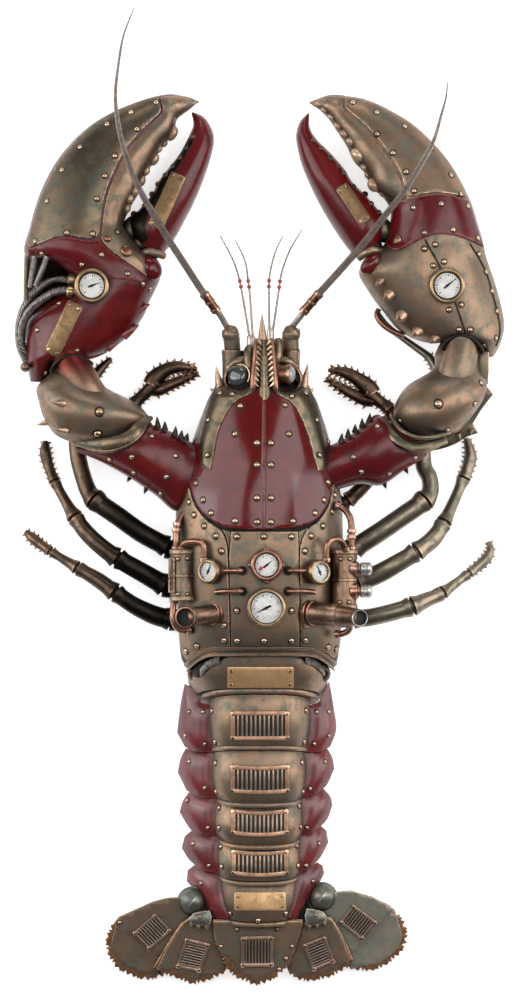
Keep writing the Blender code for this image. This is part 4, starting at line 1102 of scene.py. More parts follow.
# Copper pipes and links. Short links join the dials to the side gauges, and bent pipes run from the
# flanks to the canisters and gauges, each end in a threaded collar. Bent and soldered tube.
links = bmesh.new()
rings = bmesh.new()
grommets = bmesh.new()
for x, y, side in ((-24, -70.5, -1), (-24, -91, -1), (24.5, -70.5, 1), (24.5, -91, 1)):
    wide = -91 if y < -80 else -71
    far = (x + side * 25, wide - 1, 103)
    top = back(x, y)[0].z * 1000
    path = [(x - side * 1.6, y, top - 2), (x - side * 0.8, y, top + 2.6), (x + side * 2.6, y, top + 4.6),
            (x + side * 8, y, 112.4), (x + side * 16, (y + wide) / 2, 109), far]
    run(links, course([(*stop, 2.7) for stop in path], 5), ROUND_12)
    foot, normal = back(x - side * 1.6, y)
    turned(grommets, foot, normal, [(0, 4.6), (1, 4.6), (1.6, 4.2), (1.6, 2.6)], 18)
    if y > -80:
        way = at(*far) - at(*path[3])
        thread = [
            (0, 3), (0, 3.9), (1.2, 3.9), (1.2, 3.2), (2, 3.2), (2, 4.1), (3.4, 4.1), (3.4, 3.2), (4.2, 3.2),
            (4.2, 4.4), (6.4, 4.4), (6.4, 3),
        ]
        turned(rings, at(*path[4]), way, thread, 18)
piece("link_grommets", grommets, shadowed, "aged_bronze")
PIPES = [
    [
        (-76, -12, 70, 3.4), (-84, -17, 74, 3.4), (-88, -28, 78, 3.4), (-88.5, -38, 80, 3.4),
        (-88.5, -51, 80, 3.4),
    ],
    [
        (-83, -50, 88, 3), (-81, -44, 92, 3), (-74, -41.5, 98, 3), (-65, -42, 103, 3), (-61, -46, 105, 3),
        (-61, -62, 104, 3),
    ],
    [
        (-90.5, -98, 80, 3.2), (-92, -114, 84, 3.2), (-90, -124, 84, 3.2), (-84, -130, 82, 3.2),
        (-74, -129, 80, 3.2),
    ],
    [(71, -5, 74, 3.2), (79, -9, 77, 3.2), (85, -18, 80, 3.2), (86.3, -29, 81, 3.2), (86.3, -51, 81, 3.2)],
    [
        (61, -62, 104, 3), (61.5, -48, 105, 3), (65, -41, 104, 3), (71, -39, 100, 3), (77, -42, 95, 3),
        (81, -51, 90, 3),
    ],
    [
        (84.5, -108, 82, 3.2), (85, -124, 84, 3.2), (83, -130.5, 83, 3.2), (77, -133.5, 80, 3.2),
        (70, -134, 78, 3.2),
    ],
]
for path in PIPES:
    stops = evenly(path, 2.5)
    run(links, stops, ROUND_12)
    for near, far in ((stops[1], stops[2]), (stops[-2], stops[-3])):
        wide = near[3] + 1.3
        profile = [(-2.4, wide - 0.8), (-1.9, wide), (1.9, wide), (2.4, wide - 0.8)]
        turned(rings, at(*near[:3]), at(*far[:3]) - at(*near[:3]), profile, 18)
for x, y, z in ((-87.6, -24, 77), (-88.4, -30, 79), (86.4, -31, 81), (86.4, -37, 81)):
    turned(rings, at(x, y, z), (0, -1, 0.1), [(-2, 3.8), (-1.6, 4.6), (1.6, 4.6), (2, 3.8)], 18)
piece("copper_pipes", links, copper, "copper_tube")
piece("pipe_collars", rings, copper, "copper_tube")


# Rear rim. A flared lip of heavy bronze sheet behind the barrel, its edge rolled and rubbed bright.
# Two short dark clips hold it down to the first tail ring, one at each side.
rim = bmesh.new()
rim_rows = [
    (-81, -146.8, 72, -146.8, 0, 99.4, 0), (-81.4, -147.6, 72.4, -147.6, 0, 100.6, 0.4),
    (-80.5, -150.4, 71.5, -150.4, 0, 100, 1.4), (-78.5, -154.6, 69.5, -154.6, 0, 97.4, 3),
]
lip_rows = [
    (-78.4, -156.4, 69.4, -156.4, 0, 98.4, 3.4), (-79, -158, 70, -158, 0, 99, 3.8),
    (-78.4, -159.6, 69.4, -159.6, 0, 98, 4.2), (-76, -160, 67, -160, 0, 95, 4.4),
    (-73, -160, 64, -160, 0, 92, 4.4),
]
loft(rim, [rib(row) for row in course(rim_rows, 5) + lip_rows], section(96, FLAT_BELLY))
for vert in rim.verts:
    vert.co.y -= sag(vert.co)
piece("rear_rim", rim, bronze, "aged_bronze", "rear_rim")


clips = bmesh.new()
for side, x in ((-1, -72), (1, 60)):
    path = [(x - side * 3, -166, 52, 4), (x, -171, 50, 5), (x, -177, 46, 5), (x - side * 4, -180, 42, 3)]
    run(clips, course(path, 3), ROUND_12, 0.8)
piece("rear_rim_clips", clips, dark, "dark_bronze")


# Tail rings. Six overlapping hoops of bronze, each beaten to a rolled lip at its rear edge so that
# the next lies under it. Before the first, two gaps laid with dark sheets of painted shade hold a row
# of bent spring wires each.
TAIL_RINGS = {
    1: [
        (-70, 56, 85, -158, 0.1), (-76, 61.5, 84.6, -168, 0.11), (-77.5, 63, 83, -178, 0.12),
        (-76, 62, 80.6, -187, 0.13), (-71, 57.6, 77, -197, 0.146), (-64.5, 53, 75, -205, 0.156),
    ],
    2: [(-56.4, 45.4, 70, -205.6, 0.156), (-57.4, 46.9, 71.6, -226, 0.06), (-54.4, 43.4, 67.6, -254, 0.058)],
    3: [
        (-53.4, 41.4, 63, -254.6, 0.058), (-55.4, 42.9, 65.6, -275, -0.06),
        (-49.4, 38.4, 60.6, -296, -0.194),
    ],
    4: [
        (-51.4, 39.4, 56, -296.6, -0.194), (-53.4, 40.4, 58.6, -314, -0.25),
        (-48.4, 37.4, 53.6, -332, -0.336),
    ],
    5: [(-50, 37.4, 50, -332.6, -0.336), (-51, 38, 51.6, -350, -0.35), (-47.4, 35.4, 46.6, -370, -0.354)],
    6: [(-48.4, 35.4, 43, -370.6, -0.354), (-45.4, 33, 43.6, -393, -0.33), (-39.4, 27.4, 37.6, -416, -0.31)],
}
HOOP = section(72, 0.195, 3.0)
hoops = {}
for number, stations in TAIL_RINGS.items():
    bm = bmesh.new()
    stops = course(stations, 8)
    left, right, top, foot, lean = stops[-1]
    lip = []
    for out, ahead in ((0.1, 5.0), (0.8, 4.4), (1.1, 3.2), (1.1, 1.4), (0.5, 0.2)):
        lip.append((left - out, right + out, top + out, foot + ahead, lean))
    body = [stop for stop in stops if stop[3] > foot + 5.6]
    ribs = [rib((a, y, b, y, 0, high, slope * high)) for a, b, high, y, slope in body + lip]
    loft(bm, ribs, HOOP)
    name = f"tail_ring_{number}"
    hoops[number] = piece(name, bm, bronze, "aged_bronze", name, sharp=40)
hoop_tops = over(*hoops.values())
springs = bmesh.new()
for side, outline, path in (
    ("left", [
        (-72, -166), (-64, -160), (-46, -155), (-36, -156), (-48, -163), (-58, -171), (-66, -178),
        (-73, -176),
    ], [(-64, -172), (-57, -164.5), (-46, -159.5)]),
    ("right", [
        (67, -166), (59, -160), (41, -155), (31, -156), (43, -163), (53, -171), (61, -178), (68, -176),
    ], [(41, -159.5), (52, -164.5), (59, -172)]),
):
    # The gaps are laid with dark sheets of painted shade.
    fitted(
        f"rear_gap_{side}", flow(outline, 2.5), hoop_tops, 0.5, shadowed, "aged_bronze", lip=0.4, cell=4,
        ease=0,
    )
    for i, (x, y) in enumerate(course(path, 7)):
        foot = hoop_tops(x, y)[0].z * 1000
        run(springs, [
            (x, y + 3.4, foot + 1, 0.9), (x, y, foot + 3.4, 0.9), (x, y - 3.4, foot + 1, 0.9),
        ], ROUND_8)
piece("rear_rim_springs", springs, steel, "wire_steel")


# Side plates. Five pointed plates of red enamel hang along each side of the tail, each overlapping
# the next, folded down towards the table. Stamped sheet.
SIDE_PLATES = {
    "left": {
        2: [(-81, -184), (-85, -204), (-88.5, -233), (-81, -247), (-71, -252), (-50, -252), (-50, -206),
            (-64, -203), (-72, -190)],
        3: [(-80, -249), (-85, -259), (-88, -273), (-79, -291), (-66, -298), (-47, -298), (-50, -253)],
        4: [(-77, -293), (-83, -302), (-86, -313), (-76, -329), (-66, -336), (-45, -336), (-47, -299)],
        5: [(-74, -331), (-81, -337), (-84, -349), (-76, -361), (-64, -371), (-44, -374), (-45, -337)],
        6: [(-70, -365), (-78, -371), (-79, -382), (-64, -400), (-53, -419), (-37, -419), (-43, -376)],
    },
    "right": {
        2: [(65, -182), (69, -206), (72, -229), (66, -247), (56, -252), (39, -252), (42, -206), (54, -203),
            (61, -188)],
        3: [(63, -249), (68, -258), (70, -269), (62, -286), (50, -296), (36, -298), (39, -253)],
        4: [(59, -289), (66, -297), (68, -306), (62, -321), (47, -335), (34, -336), (36, -299)],
        5: [(56, -326), (62, -331), (64, -343), (56, -358), (44, -370), (32, -373), (34, -337)],
        6: [(53, -363), (58, -366), (60, -374), (53, -387), (40, -404), (33, -419), (24, -419), (30, -376)],
    },
}
# A lighter, rosier copy of the oxblood enamel for the side plates: painted sheen where they face the side
# lights.
rosy_sheen = finish(
    "rosy_sheen_enamel", [(0.1, 0.006, 0.008), (0.14, 0.014, 0.014), (0.06, 0.003, 0.004)],
    (0.01, 0.002, 0.002), (0.32, 0.12, 0.1), (0.26, 0.32), metallic=0.0, size=22.0, dirt_and_shade=1.0,
    wear=0.4, relief=0.05, coat=0.12,
)
red_plates = {}
for side, outlines in SIDE_PLATES.items():
    for number, outline in outlines.items():
        fold = min(abs(x + 5.5) for x, y in outline) + 18
        lift = (6 - number) * 1.5
        far = min(y for x, y in outline)

        def fall(x, y, fold=fold, lift=lift, far=far):
            reach = abs(x + 5.5) - fold
            bend = 0.65 * reach + 0.2 * (reach * reach + 25) ** 0.5
            return 25 + lift - bend

        red_plates[side, number] = fitted(
            f"side_plate_{side}_{number}", flow(outline, 2.5, 30), sloping(fall), 0.0, rosy_sheen,
            "oxblood_enamel", f"side_plate_{side}_{number}", lip=1.0, sink=1.0, depth=2.4, cell=4, crown=5.0,
            crown_reach=15,
        )


# Tail vents and name plates. Slotted brass vents on rings two to five, their mouths laid black with
# painted shade, and a bare brass plate on the first and last ring, all screwed down at their corners.
old_brass = finish(
    "old_brass", [(0.3, 0.17, 0.105), (0.38, 0.215, 0.135), (0.2, 0.12, 0.08)],
    (0.02, 0.016, 0.012), (0.65, 0.43, 0.3), (0.42, 0.56), metallic=0.9,
)
slat_bronze = finish(
    "slat_bronze", [(0.24, 0.165, 0.115), (0.3, 0.205, 0.145), (0.15, 0.105, 0.078)],
    (0.005, 0.004, 0.003), (0.55, 0.4, 0.29), (0.36, 0.5), metallic=0.9, dirt_and_shade=1.0,
)


def across_patch(corners, u, v, bow=0.0):
    """A plan point in a four-cornered patch, sagging towards the tail by bow at its middle."""
    (ax, ay), (bx, by), (cx, cy), (dx, dy) = corners
    top = (ax + (bx - ax) * u, ay + (by - ay) * u)
    low = (dx + (cx - dx) * u, dy + (cy - dy) * u)
    x = top[0] + (low[0] - top[0]) * v
    y = top[1] + (low[1] - top[1]) * v - bow * (1 - (2 * u - 1) ** 2)
    return x, y


def vent(name, corners, ground, slats, bow=0.0, wide=2.1, metal=old_brass, thin=0.95):
    """A framed opening with slats from its head side to its tail side, screwed at its corners."""

    def rod(bm, start, end, radius, lift, ring, flat):
        path = []
        for step in range(9):
            u, v = (a + (b - a) * step / 8 for a, b in zip(start, end))
            x, y = across_patch(corners, u, v, bow)
            path.append((x, y, ground(x, y)[0].z * 1000 + lift, radius))
        run(bm, path, ring, flat)

    outline = []
    for a, b in (((0, 0), (1, 0)), ((1, 0), (1, 1)), ((1, 1), (0, 1)), ((0, 1), (0, 0))):
        for step in range(8):
            share = step / 8
            outline.append(across_patch(
                corners, a[0] + (b[0] - a[0]) * share, a[1] + (b[1] - a[1]) * share, bow,
            ))
    # The opening is laid with a black sheet of painted shade under the slats.
    fitted(name + "_mouth", outline, ground, 0.5, black, "dark_bronze", lip=0.2, cell=6, ease=0)
    bars = bmesh.new()
    blades = bmesh.new()
    square = section(12, square=5)
    for a, b in (((0, 0), (1, 0)), ((1, 0), (1, 1)), ((1, 1), (0, 1)), ((0, 1), (0, 0))):
        ends = ((a[0] * 1.02 - 0.01, a[1] * 1.04 - 0.02), (b[0] * 1.02 - 0.01, b[1] * 1.04 - 0.02))
        rod(bars, *ends, wide, 1.2, square, 0.6)
    for i in range(slats):
        u = (i + 1) / (slats + 1)
        rod(blades, (u, 0.02), (u, 0.98), thin, 0.9, square, 0.7)
    piece(name, bars, metal, "brass")
    piece(name + "_slats", blades, slat_bronze, "aged_bronze")
    screws = bmesh.new()
    for u, v in ((0, 0), (1, 0), (1, 1), (0, 1)):
        foot, normal = ground(*across_patch(corners, u, v, bow))
        turned(screws, foot, normal, [(0.5, 2.3), (3.0, 2.3), (3.6, 1.8), (3.8, 0.8)], 12)
    piece(name + "_screws", screws, rivet_metal, "aged_bronze")


tail = over(*hoops.values())
vent("vent_ring_2", [(-31.5, -213.5), (21.5, -213.5), (21.5, -237.5), (-31.5, -237.5)], tail, 11)
vent("vent_ring_3", [(-31.5, -267), (21.5, -267), (21.5, -290), (-31.5, -290)], tail, 11, 1.6)
vent("vent_ring_4", [(-31, -311.5), (20.5, -311.5), (20.5, -332), (-31, -332)], tail, 11, 2.2)
vent("vent_ring_5", [(-30.5, -352), (20.5, -352), (20.5, -372.5), (-30.5, -372.5)], tail, 11, 2.2)


def oblong(middle, length, width, direction, corner=2.0):
    """A rectangle with rounded corners about a plan point, its length along a direction."""
    along = Vector(direction).normalized()
    aside = Vector((-along.y, along.x))
    points = []
    for sx, sy, start in ((1, 1, 0), (-1, 1, 90), (-1, -1, 180), (1, -1, 270)):
        for step in range(5):
            angle = radians(start + step * 22.5)
            a = sx * (length / 2 - corner) + corner * cos(angle)
            b = sy * (width / 2 - corner) + corner * sin(angle)
            spot = Vector(middle) + along * a + aside * b
            points.append((spot.x, spot.y))
    made = []
    for a, b in zip(points, points[1:] + points[:1]):
        steps = max(1, round(hypot(b[0] - a[0], b[1] - a[1]) / 4))
        made.extend(
            (a[0] + (b[0] - a[0]) * k / steps, a[1] + (b[1] - a[1]) * k / steps) for k in range(steps)
        )
    return made


def name_plate(name, middle, length, width, direction, ground, metal, inset=4.0):
    """A bare plate with a rounded outline and a screw in each corner."""
    fitted(name, oblong(middle, length, width, direction), ground, 1.3, metal, "brass", lip=0.5, cell=4)
    along = Vector(direction).normalized() * (length / 2 - inset)
    aside = Vector((-along.y, along.x)).normalized() * (width / 2 - inset)
    spots = [tuple(Vector(middle) + along * a + aside * b) for a in (-1, 1) for b in (-1, 1)]
    screws = bmesh.new()
    for x, y in spots:
        foot, normal = ground(x, y)
        turned(screws, foot, normal, [(0.5, 1.7), (2.0, 1.7), (2.5, 1.3), (2.6, 0.5)], 12)
    piece(name + "_screws", screws, rivet_metal, "aged_bronze")


plate_brass = finish(
    "plate_brass", [(0.5, 0.3, 0.14), (0.6, 0.38, 0.19), (0.36, 0.22, 0.11)],
    (0.05, 0.032, 0.018), (0.7, 0.5, 0.3), (0.42, 0.56), metallic=0.75,
)
name_plate("name_plate_front", (-4.5, -177), 66, 21, (1, 0), tail, plate_brass)
name_plate("name_plate_rear", (-5, -401.5), 51, 18, (1, 0), tail, plate_brass)
rivets("tail_rivets", [
    (-53, -211), (-50, -242), (41, -210.5), (39, -242), (-49.5, -263), (-49, -292), (37, -262.5),
    (38, -292), (-46, -308), (34, -306), (-46, -328), (35.5, -327), (-44.5, -347), (-43.5, -367), (32, -346),
    (33, -366), (-35, -414), (-7, -421), (21, -414),
], tail, rivet_metal, "aged_bronze", 2.6)
reds = over(*red_plates.values())
rivets("side_plate_rivets", [
    (-62, -212), (-60, -244), (51.5, -212), (49, -244), (-60, -288), (45, -289), (-78, -301), (-57, -328),
    (42, -328), (-76, -212), (64, -212), (-76, -262), (60, -262), (-72, -344), (54, -344), (-56, -366),
    (41, -366), (-64, -384), (48, -382), (-80, -236), (64, -236),
], reds, rivet_metal, "aged_bronze", 2.1)


# Tail fan. The telson lies over the inner fins and those over the outer fins, all cast bronze blades
# with ragged copper-brown rims and a slotted vent each. Ball joints carry the outer fins.
def ragged(points, depth, gap=5.0):
    """An outer edge torn into teeth of uneven length and width, about gap millimetres apart."""
    line = course(points, 12)
    walked = np.concatenate([[0], np.cumsum(np.hypot(*np.diff(np.array(line), axis=0).T))])
    count = max(2, round(walked[-1] / gap))
    marks = np.linspace(0, walked[-1], 2 * count + 1)
    marks[1:-1] += [gap * 0.22 * sin(5.3 * i) for i in range(1, 2 * count)]
    xs, ys = (np.interp(marks, walked, [p[k] for p in line]) for k in (0, 1))
    edge = []
    for i, (x, y) in enumerate(zip(xs, ys)):
        if i % 2:
            dx, dy = xs[i + 1] - xs[i - 1], ys[i + 1] - ys[i - 1]
            size = hypot(dx, dy)
            deep = depth * (0.45 + 0.9 * ((i * 37) % 11) / 11)
            x, y = x - dy / size * deep, y + dx / size * deep
        edge.append((float(x), float(y)))
    return edge


BLADES = {
    "outer_fin_left": (
        [(-148, -418), (-157, -429), (-160.5, -444), (-157, -459), (-148, -471), (-134, -478), (-117, -482),
         (-98, -477)],
        [(-86, -450), (-72, -418), (-74, -398), (-95, -398), (-112, -402), (-130, -410)], 7,
    ),
    "outer_fin_right": (
        [(82, -470), (100, -473), (116, -470), (130, -461), (140, -450), (143.5, -436), (140, -421),
         (127, -407)],
        [(107, -397), (86, -391), (64, -393), (58, -408), (66, -430), (76, -450)], 7,
    ),
    "inner_fin_left": (
        [(-112, -469), (-101, -476), (-88, -480), (-74, -486), (-58, -483), (-42, -476)],
        [(-36, -462), (-44, -440), (-50, -424), (-58, -416), (-72, -416), (-84, -424), (-96, -442)], 14,
    ),
    "inner_fin_right": (
        [(25, -476), (38, -483), (54, -481.5), (70, -477), (82, -469), (88.5, -461)],
        [(76, -433), (66, -418), (50, -416), (38, -424), (33, -440), (20, -464)], 14,
    ),
    "telson": (
        [(-49, -446), (-42, -463), (-33, -477), (-22, -482), (-10, -487), (2, -484), (13, -478), (24, -466)],
        [(31, -448), (38, -425), (38, -420), (-52, -420), (-52, -430)], 21,
    ),
}


def shrunk(outline, by):
    """The outline with each point moved inwards."""
    turn = sum(a[0] * b[1] - b[0] * a[1] for a, b in zip(outline, outline[1:] + outline[:1]))
    way = 1 if turn > 0 else -1
    made = []
    for i, (x, y) in enumerate(outline):
        before, after = outline[i - 1], outline[(i + 1) % len(outline)]
        dx, dy = after[0] - before[0], after[1] - before[1]
        size = hypot(dx, dy)
        made.append((x - way * dy / size * by, y + way * dx / size * by))
    return made


fringe_copper = finish(
    "fringe_copper", [(0.25, 0.125, 0.062), (0.32, 0.165, 0.085), (0.13, 0.075, 0.046)],
    (0.02, 0.012, 0.009), (0.55, 0.33, 0.2), (0.42, 0.58),
)
# A paler, greener copy of the bronze for the right outer fin: the green-grey is patina, the extra lightness
# is painted light on that side.
pale_green = finish(
    "pale_green_bronze", [(0.22, 0.2, 0.16), (0.28, 0.24, 0.185), (0.14, 0.17, 0.145)],
    (0.02, 0.03, 0.026), (0.6, 0.45, 0.34), (0.38, 0.5), metallic=0.7,
)
knuckle_metal = finish(
    "knuckle_bronze", [(0.13, 0.132, 0.11), (0.18, 0.165, 0.135), (0.09, 0.118, 0.1)],
    (0.012, 0.018, 0.015), (0.5, 0.4, 0.3), (0.38, 0.5), metallic=0.8,
)
fin_frame = finish(
    "fin_frame_bronze", [(0.2, 0.13, 0.1), (0.27, 0.175, 0.13), (0.12, 0.085, 0.068)],
    (0.02, 0.012, 0.01), (0.62, 0.44, 0.34), (0.36, 0.5), metallic=0.85,
)
fan = []
for name, (edge, root, top) in BLADES.items():
    def rise(x, y, top=top):
        return top + 0.14 * (y + 480)

    outline = ragged(edge, 3.6, 5.2) + root
    base = fitted(
        name, outline, sloping(rise), 0.0, fringe_copper, "aged_bronze", name, lip=0.6, sink=0.5, depth=3.2,
        cell=8, ease=0,
    )
    cover = flow(shrunk(flow(shrunk(edge, 5.2) + root, 4), 1.2), 3)
    metal = pale_green if name == "outer_fin_right" else bronze
    fan.append(fitted(
        name + "_cover", cover, over(base), 1.2, metal, "aged_bronze", lip=0.9, cell=5, ease=0,
    ))
FOLDS = {
    "left": [
        (-151.5, -425.5), (-147.5, -418.4), (-130, -410.2), (-112, -402.2), (-95, -398.2), (-75, -398.4),
        (-73, -418), (-86, -446), (-105, -462),
    ],
    "right": [
        (129.6, -409.6), (118, -403), (107, -397.6), (86, -391.6), (65, -393.6), (59, -408), (67, -430),
        (78, -449), (88, -456), (98.5, -447.5), (109.5, -435.5), (125, -416.5),
    ],
}
for side, outline in FOLDS.items():
    fan.append(fitted(
        f"outer_fin_fold_{side}", flow(outline[::-1] if side == "right" else outline, 5),
        sloping(lambda x, y: 9.6 + 0.14 * (y + 480)), 0.0, pale_green if side == "right" else bronze,
        "aged_bronze", lip=0.9, cell=6, depth=2.4, ease=0,
    ))
fins = over(*fan)
vent(
    "vent_telson", [(-22, -439.5), (6.5, -438.8), (6.3, -465), (-22, -465.5)], fins, 8, 0.0, 1.9, fin_frame,
    0.7,
)
vent(
    "vent_inner_fin_left", [(-87, -466.6), (-78, -441), (-57, -446), (-66.4, -471)], fins, 9, 0.0, 1.6,
    fin_frame, 0.55,
)
vent(
    "vent_inner_fin_right", [(49, -469.5), (39.8, -446.6), (59, -439), (68, -461.5)], fins, 8, 0.0, 1.6,
    fin_frame, 0.55,
)
vent("vent_outer_fin_left", [
    (-130, -433.8), (-110.2, -416.8), (-95.6, -431.6), (-115.8, -448.8),
], fins, 8, 0.0, 1.3, fin_frame, 0.6)
vent("vent_outer_fin_right", [
    (88.6, -407.6), (109.6, -423), (96.8, -438.8), (76.6, -423.2),
], fins, 8, 0.0, 1.5, fin_frame, 0.6)
rivets("fan_rivets", [
    (-28, -430), (12, -430), (-44, -447), (-39, -459), (-31.5, -470), (27, -447), (21, -459), (14, -470),
    (-145.6, -423.4),
], fins, rivet_metal, "aged_bronze", 2.0)
# Dark plates of painted shade under the roots of the fan.
for side, outline in (
    ("left", [(-86, -396), (-64, -392), (-44, -398), (-34, -412), (-36, -430), (-84, -432)]),
    ("right", [(21, -412), (30, -398), (46, -390), (70, -388), (76, -428), (22, -430)]),
):
    fitted(
        f"fan_root_{side}", flow(outline, 4), sloping(lambda x, y: 17.0), 0.0, shadowed, "aged_bronze",
        lip=0.8, cell=6, depth=4.0,
    )
balls = bmesh.new()
for x, y in ((-73, -402.6), (57.4, -398)):
    turned(balls, at(x, y, 6), (0, 0, 1), [
        (-4, 12.6), (6, 14), (9, 14.2), (9.6, 15.4), (11.4, 15.4), (12, 14), (15, 13), (18.6, 10.6),
        (21.4, 7), (23, 3.4), (23.6, 0.8),
    ], 32)
piece("fan_ball_joints", balls, knuckle_metal, "aged_bronze")
KNUCKLE_PLATES = {
    "left": [
        (-55, -411), (-64, -412), (-72, -414), (-76.5, -419), (-75, -427), (-70.5, -424), (-67, -429.5),
        (-62.5, -425), (-58.5, -430), (-55, -426), (-53.5, -418),
    ],
    "right": [
        (42, -409), (50, -410), (58, -412), (62, -417), (61, -426), (56.5, -423), (53, -428.6),
        (48.5, -424.4), (44.6, -429.4), (41, -425), (39.8, -416),
    ],
}
for side, outline in KNUCKLE_PLATES.items():
    fitted(
        f"fan_knuckle_plate_{side}", outline, sloping(lambda x, y: 32.0), 0.0, knuckle_metal, "aged_bronze",
        lip=1.6, cell=4, crown=2.4, crown_reach=5, depth=5.0,
    )
knuckles = bmesh.new()
for x, y, wide in (
    (-73.6, -423.6, 1.5), (-66.6, -426, 1.5), (-58.6, -426.6, 1.5), (59, -422.6, 1.5), (52.6, -425.2, 1.5),
    (44.8, -426, 1.5), (-65, -417.4, 2.2), (50.6, -415.6, 2.2),
):
    turned(knuckles, at(x, y, 34), (0, 0, 1), [
        (-4, wide), (2.2, wide), (3.2, wide * 0.8), (3.8, wide * 0.3),
    ], 18)
piece("fan_knuckles", knuckles, bronze, "aged_bronze")


# Big claws, inner parts. On each side a red upper arm leaves the barrel under the shield and ends in
# a domed bronze elbow that carries the claw. Cast shells, riveted at their seams.
UPPER_ARMS = {
    "left": [
        (-62, 54, -74, -4, 40, 78), (-76, 59, -90, -11, 36, 80), (-95, 69, -110, 5, 34, 84),
        (-119, 77, -137, 23, 34, 86), (-133, 74, -166, 39, 36, 80), (-152, 70, -190, 49, 44, 68),
    ],
    "right": [
        (56, 50, 66, 8, 40, 78), (70, 57, 78, 12, 36, 80), (88, 67, 96, 16, 34, 84),
        (110, 85, 117, 15, 34, 86), (122, 80, 140, 30, 36, 82), (142, 74, 163, 45, 44, 68),
    ],
}
ELBOWS = {
    "left": [
        (-209, 142, -187, 144, 22, 52), (-214, 128, -178, 127, 24, 66), (-228, 113, -158, 112, 30, 80),
        (-226, 98, -130, 97, 33, 91), (-221, 82, -117, 82, 33, 93), (-209, 65, -131, 62, 35, 84),
        (-186, 55, -150, 54, 44, 66),
    ],
    "right": [
        (205, 160, 178, 162, 22, 54), (213, 144, 170, 146, 24, 64), (215, 129, 168, 131, 26, 72),
        (222, 116, 143, 115, 32, 85), (218, 100, 131, 98, 33, 92), (207, 84, 129, 84, 33, 92),
        (196, 70, 138, 71, 36, 84), (182, 63, 155, 63, 46, 66),
    ],
}
CLAW = section(48, FLAT_BELLY)
arms = {}
elbows = {}
for side in ("left", "right"):
    arms[side] = shell(
        f"upper_arm_{side}", UPPER_ARMS[side], 8, CLAW, satin, "oxblood_enamel", f"upper_arm_{side}"
    )
    elbows[side] = shell(f"elbow_{side}", ELBOWS[side], 8, CLAW, bronze, "aged_bronze", f"elbow_{side}")


cuffs = bmesh.new()
for path, radius, flat in (
    ([
        (-114, 82, 62), (-118, 77, 72), (-122, 69, 81), (-129, 60.5, 86), (-140, 53.5, 87), (-155, 49, 84),
        (-170, 50, 76), (-183, 55, 62),
    ], 2.4, 1.0),
    ([
        (-119, 84, 64), (-123, 78, 76), (-128, 71, 85), (-136, 63.5, 89), (-148, 58.5, 89), (-162, 56, 84),
        (-178, 57, 72), (-192, 61, 60),
    ], 5.6, 0.4),
    ([
        (117, 82, 62), (121, 73, 72), (128, 65, 80), (137, 58, 84), (150, 53.5, 84), (165, 56, 80),
        (180, 61, 68),
    ], 5.0, 0.42),
    ([
        (122, 74, 66), (128, 64, 74), (140, 53, 78), (152, 48.5, 78), (164, 50.5, 72), (176, 57, 60),
    ], 2.6, 1.0),
    ([
        (126, 84, 66), (131, 75, 78), (139, 67.5, 86), (152, 62.5, 88), (168, 63, 84), (184, 68, 72),
    ], 2.4, 1.0),
):
    run(cuffs, [(*stop, radius) for stop in course(path, 6)], ROUND_12, flat)
piece("arm_cuffs", cuffs, verdigris, "aged_bronze")
limbs = over(*arms.values(), *elbows.values())
rivets("arm_rivets", [
    (-133, 43), (-155, 40), (-113, 64), (-131, 27), (-89, 44), (-98, 23), (150, 42), (124, 26), (88, 43),
    (179, 130.5), (216, 117), (209.5, 96), (135, 79), (182, 70), (112, 74), (96, 28), (-104, 6),
], limbs, rivet_metal, "aged_bronze", 2.5)
rivets("elbow_rivets", [(173, 96), (-165, 88), (-167, 66)], limbs, rivet_metal, "aged_bronze", 3.8)
spikes = bmesh.new()
for base, tip, thickness in (
    ((-212, 79, 58), (-228, 75, 56), 4.6), ((-201, 96, 85), (-214, 97.5, 94), 4.4),
    ((-199, 69, 79), (-210.5, 71, 88), 4.4),
    ((206, 71, 52), (206, 65, 50), 3), ((193, 66, 52), (196, 60, 50), 3), ((177, 62, 52), (180, 54, 50), 3),
):
    cone(spikes, base, tip, thickness, 10)
piece("elbow_spikes", spikes, bronze, "aged_bronze")
thorns = bmesh.new()
for base, tip in (
    ((-107, 73, 66), (-108, 84, 70)), ((-100, 70, 66), (-100, 79, 70)), ((-90, 65, 66), (-89, 74, 69)),
    ((-79, 60, 66), (-77, 67, 69)), ((-116, 75, 64), (-118, 82, 68)), ((-84, 62, 66), (-83, 70, 69)),
    ((76, 58, 66), (77, 67, 69)), ((83, 63, 66), (83, 72, 70)), ((90, 68, 66), (90, 76, 70)),
    ((97, 73, 66), (97, 82, 70)), ((104, 78, 66), (105, 87, 70)), ((-134, 24, 56), (-138, 18, 56)),
    ((-118, 13, 56), (-121, 6, 56)), ((140, 32, 56), (143, 26, 56)), ((119, 18, 56), (121, 11, 56)),
):
    cone(thorns, base, tip, 3.2, 8)
piece("arm_thorns", thorns, shadowed, "dark_bronze")
GUARD = [
    (228.5, 106), (221, 114), (210, 116), (196, 100), (180, 78), (158, 62), (150, 54), (160, 49), (176, 51),
    (190, 56), (202, 63), (213.5, 67), (208, 76.5), (217, 91),
]
LINK = [(212, 149), (224, 148), (224, 130), (223, 116), (212, 110), (206, 124)]
for name, outline, level in (("elbow_guard_right", GUARD, 50.0), ("wrist_link_right", LINK, 46.0)):
    fitted(
        name, flow(outline, 3), sloping(lambda x, y, level=level: level), 0.0, verdigris, "aged_bronze",
        lip=1.2, cell=5, depth=3.0, crown=2.0,
    )


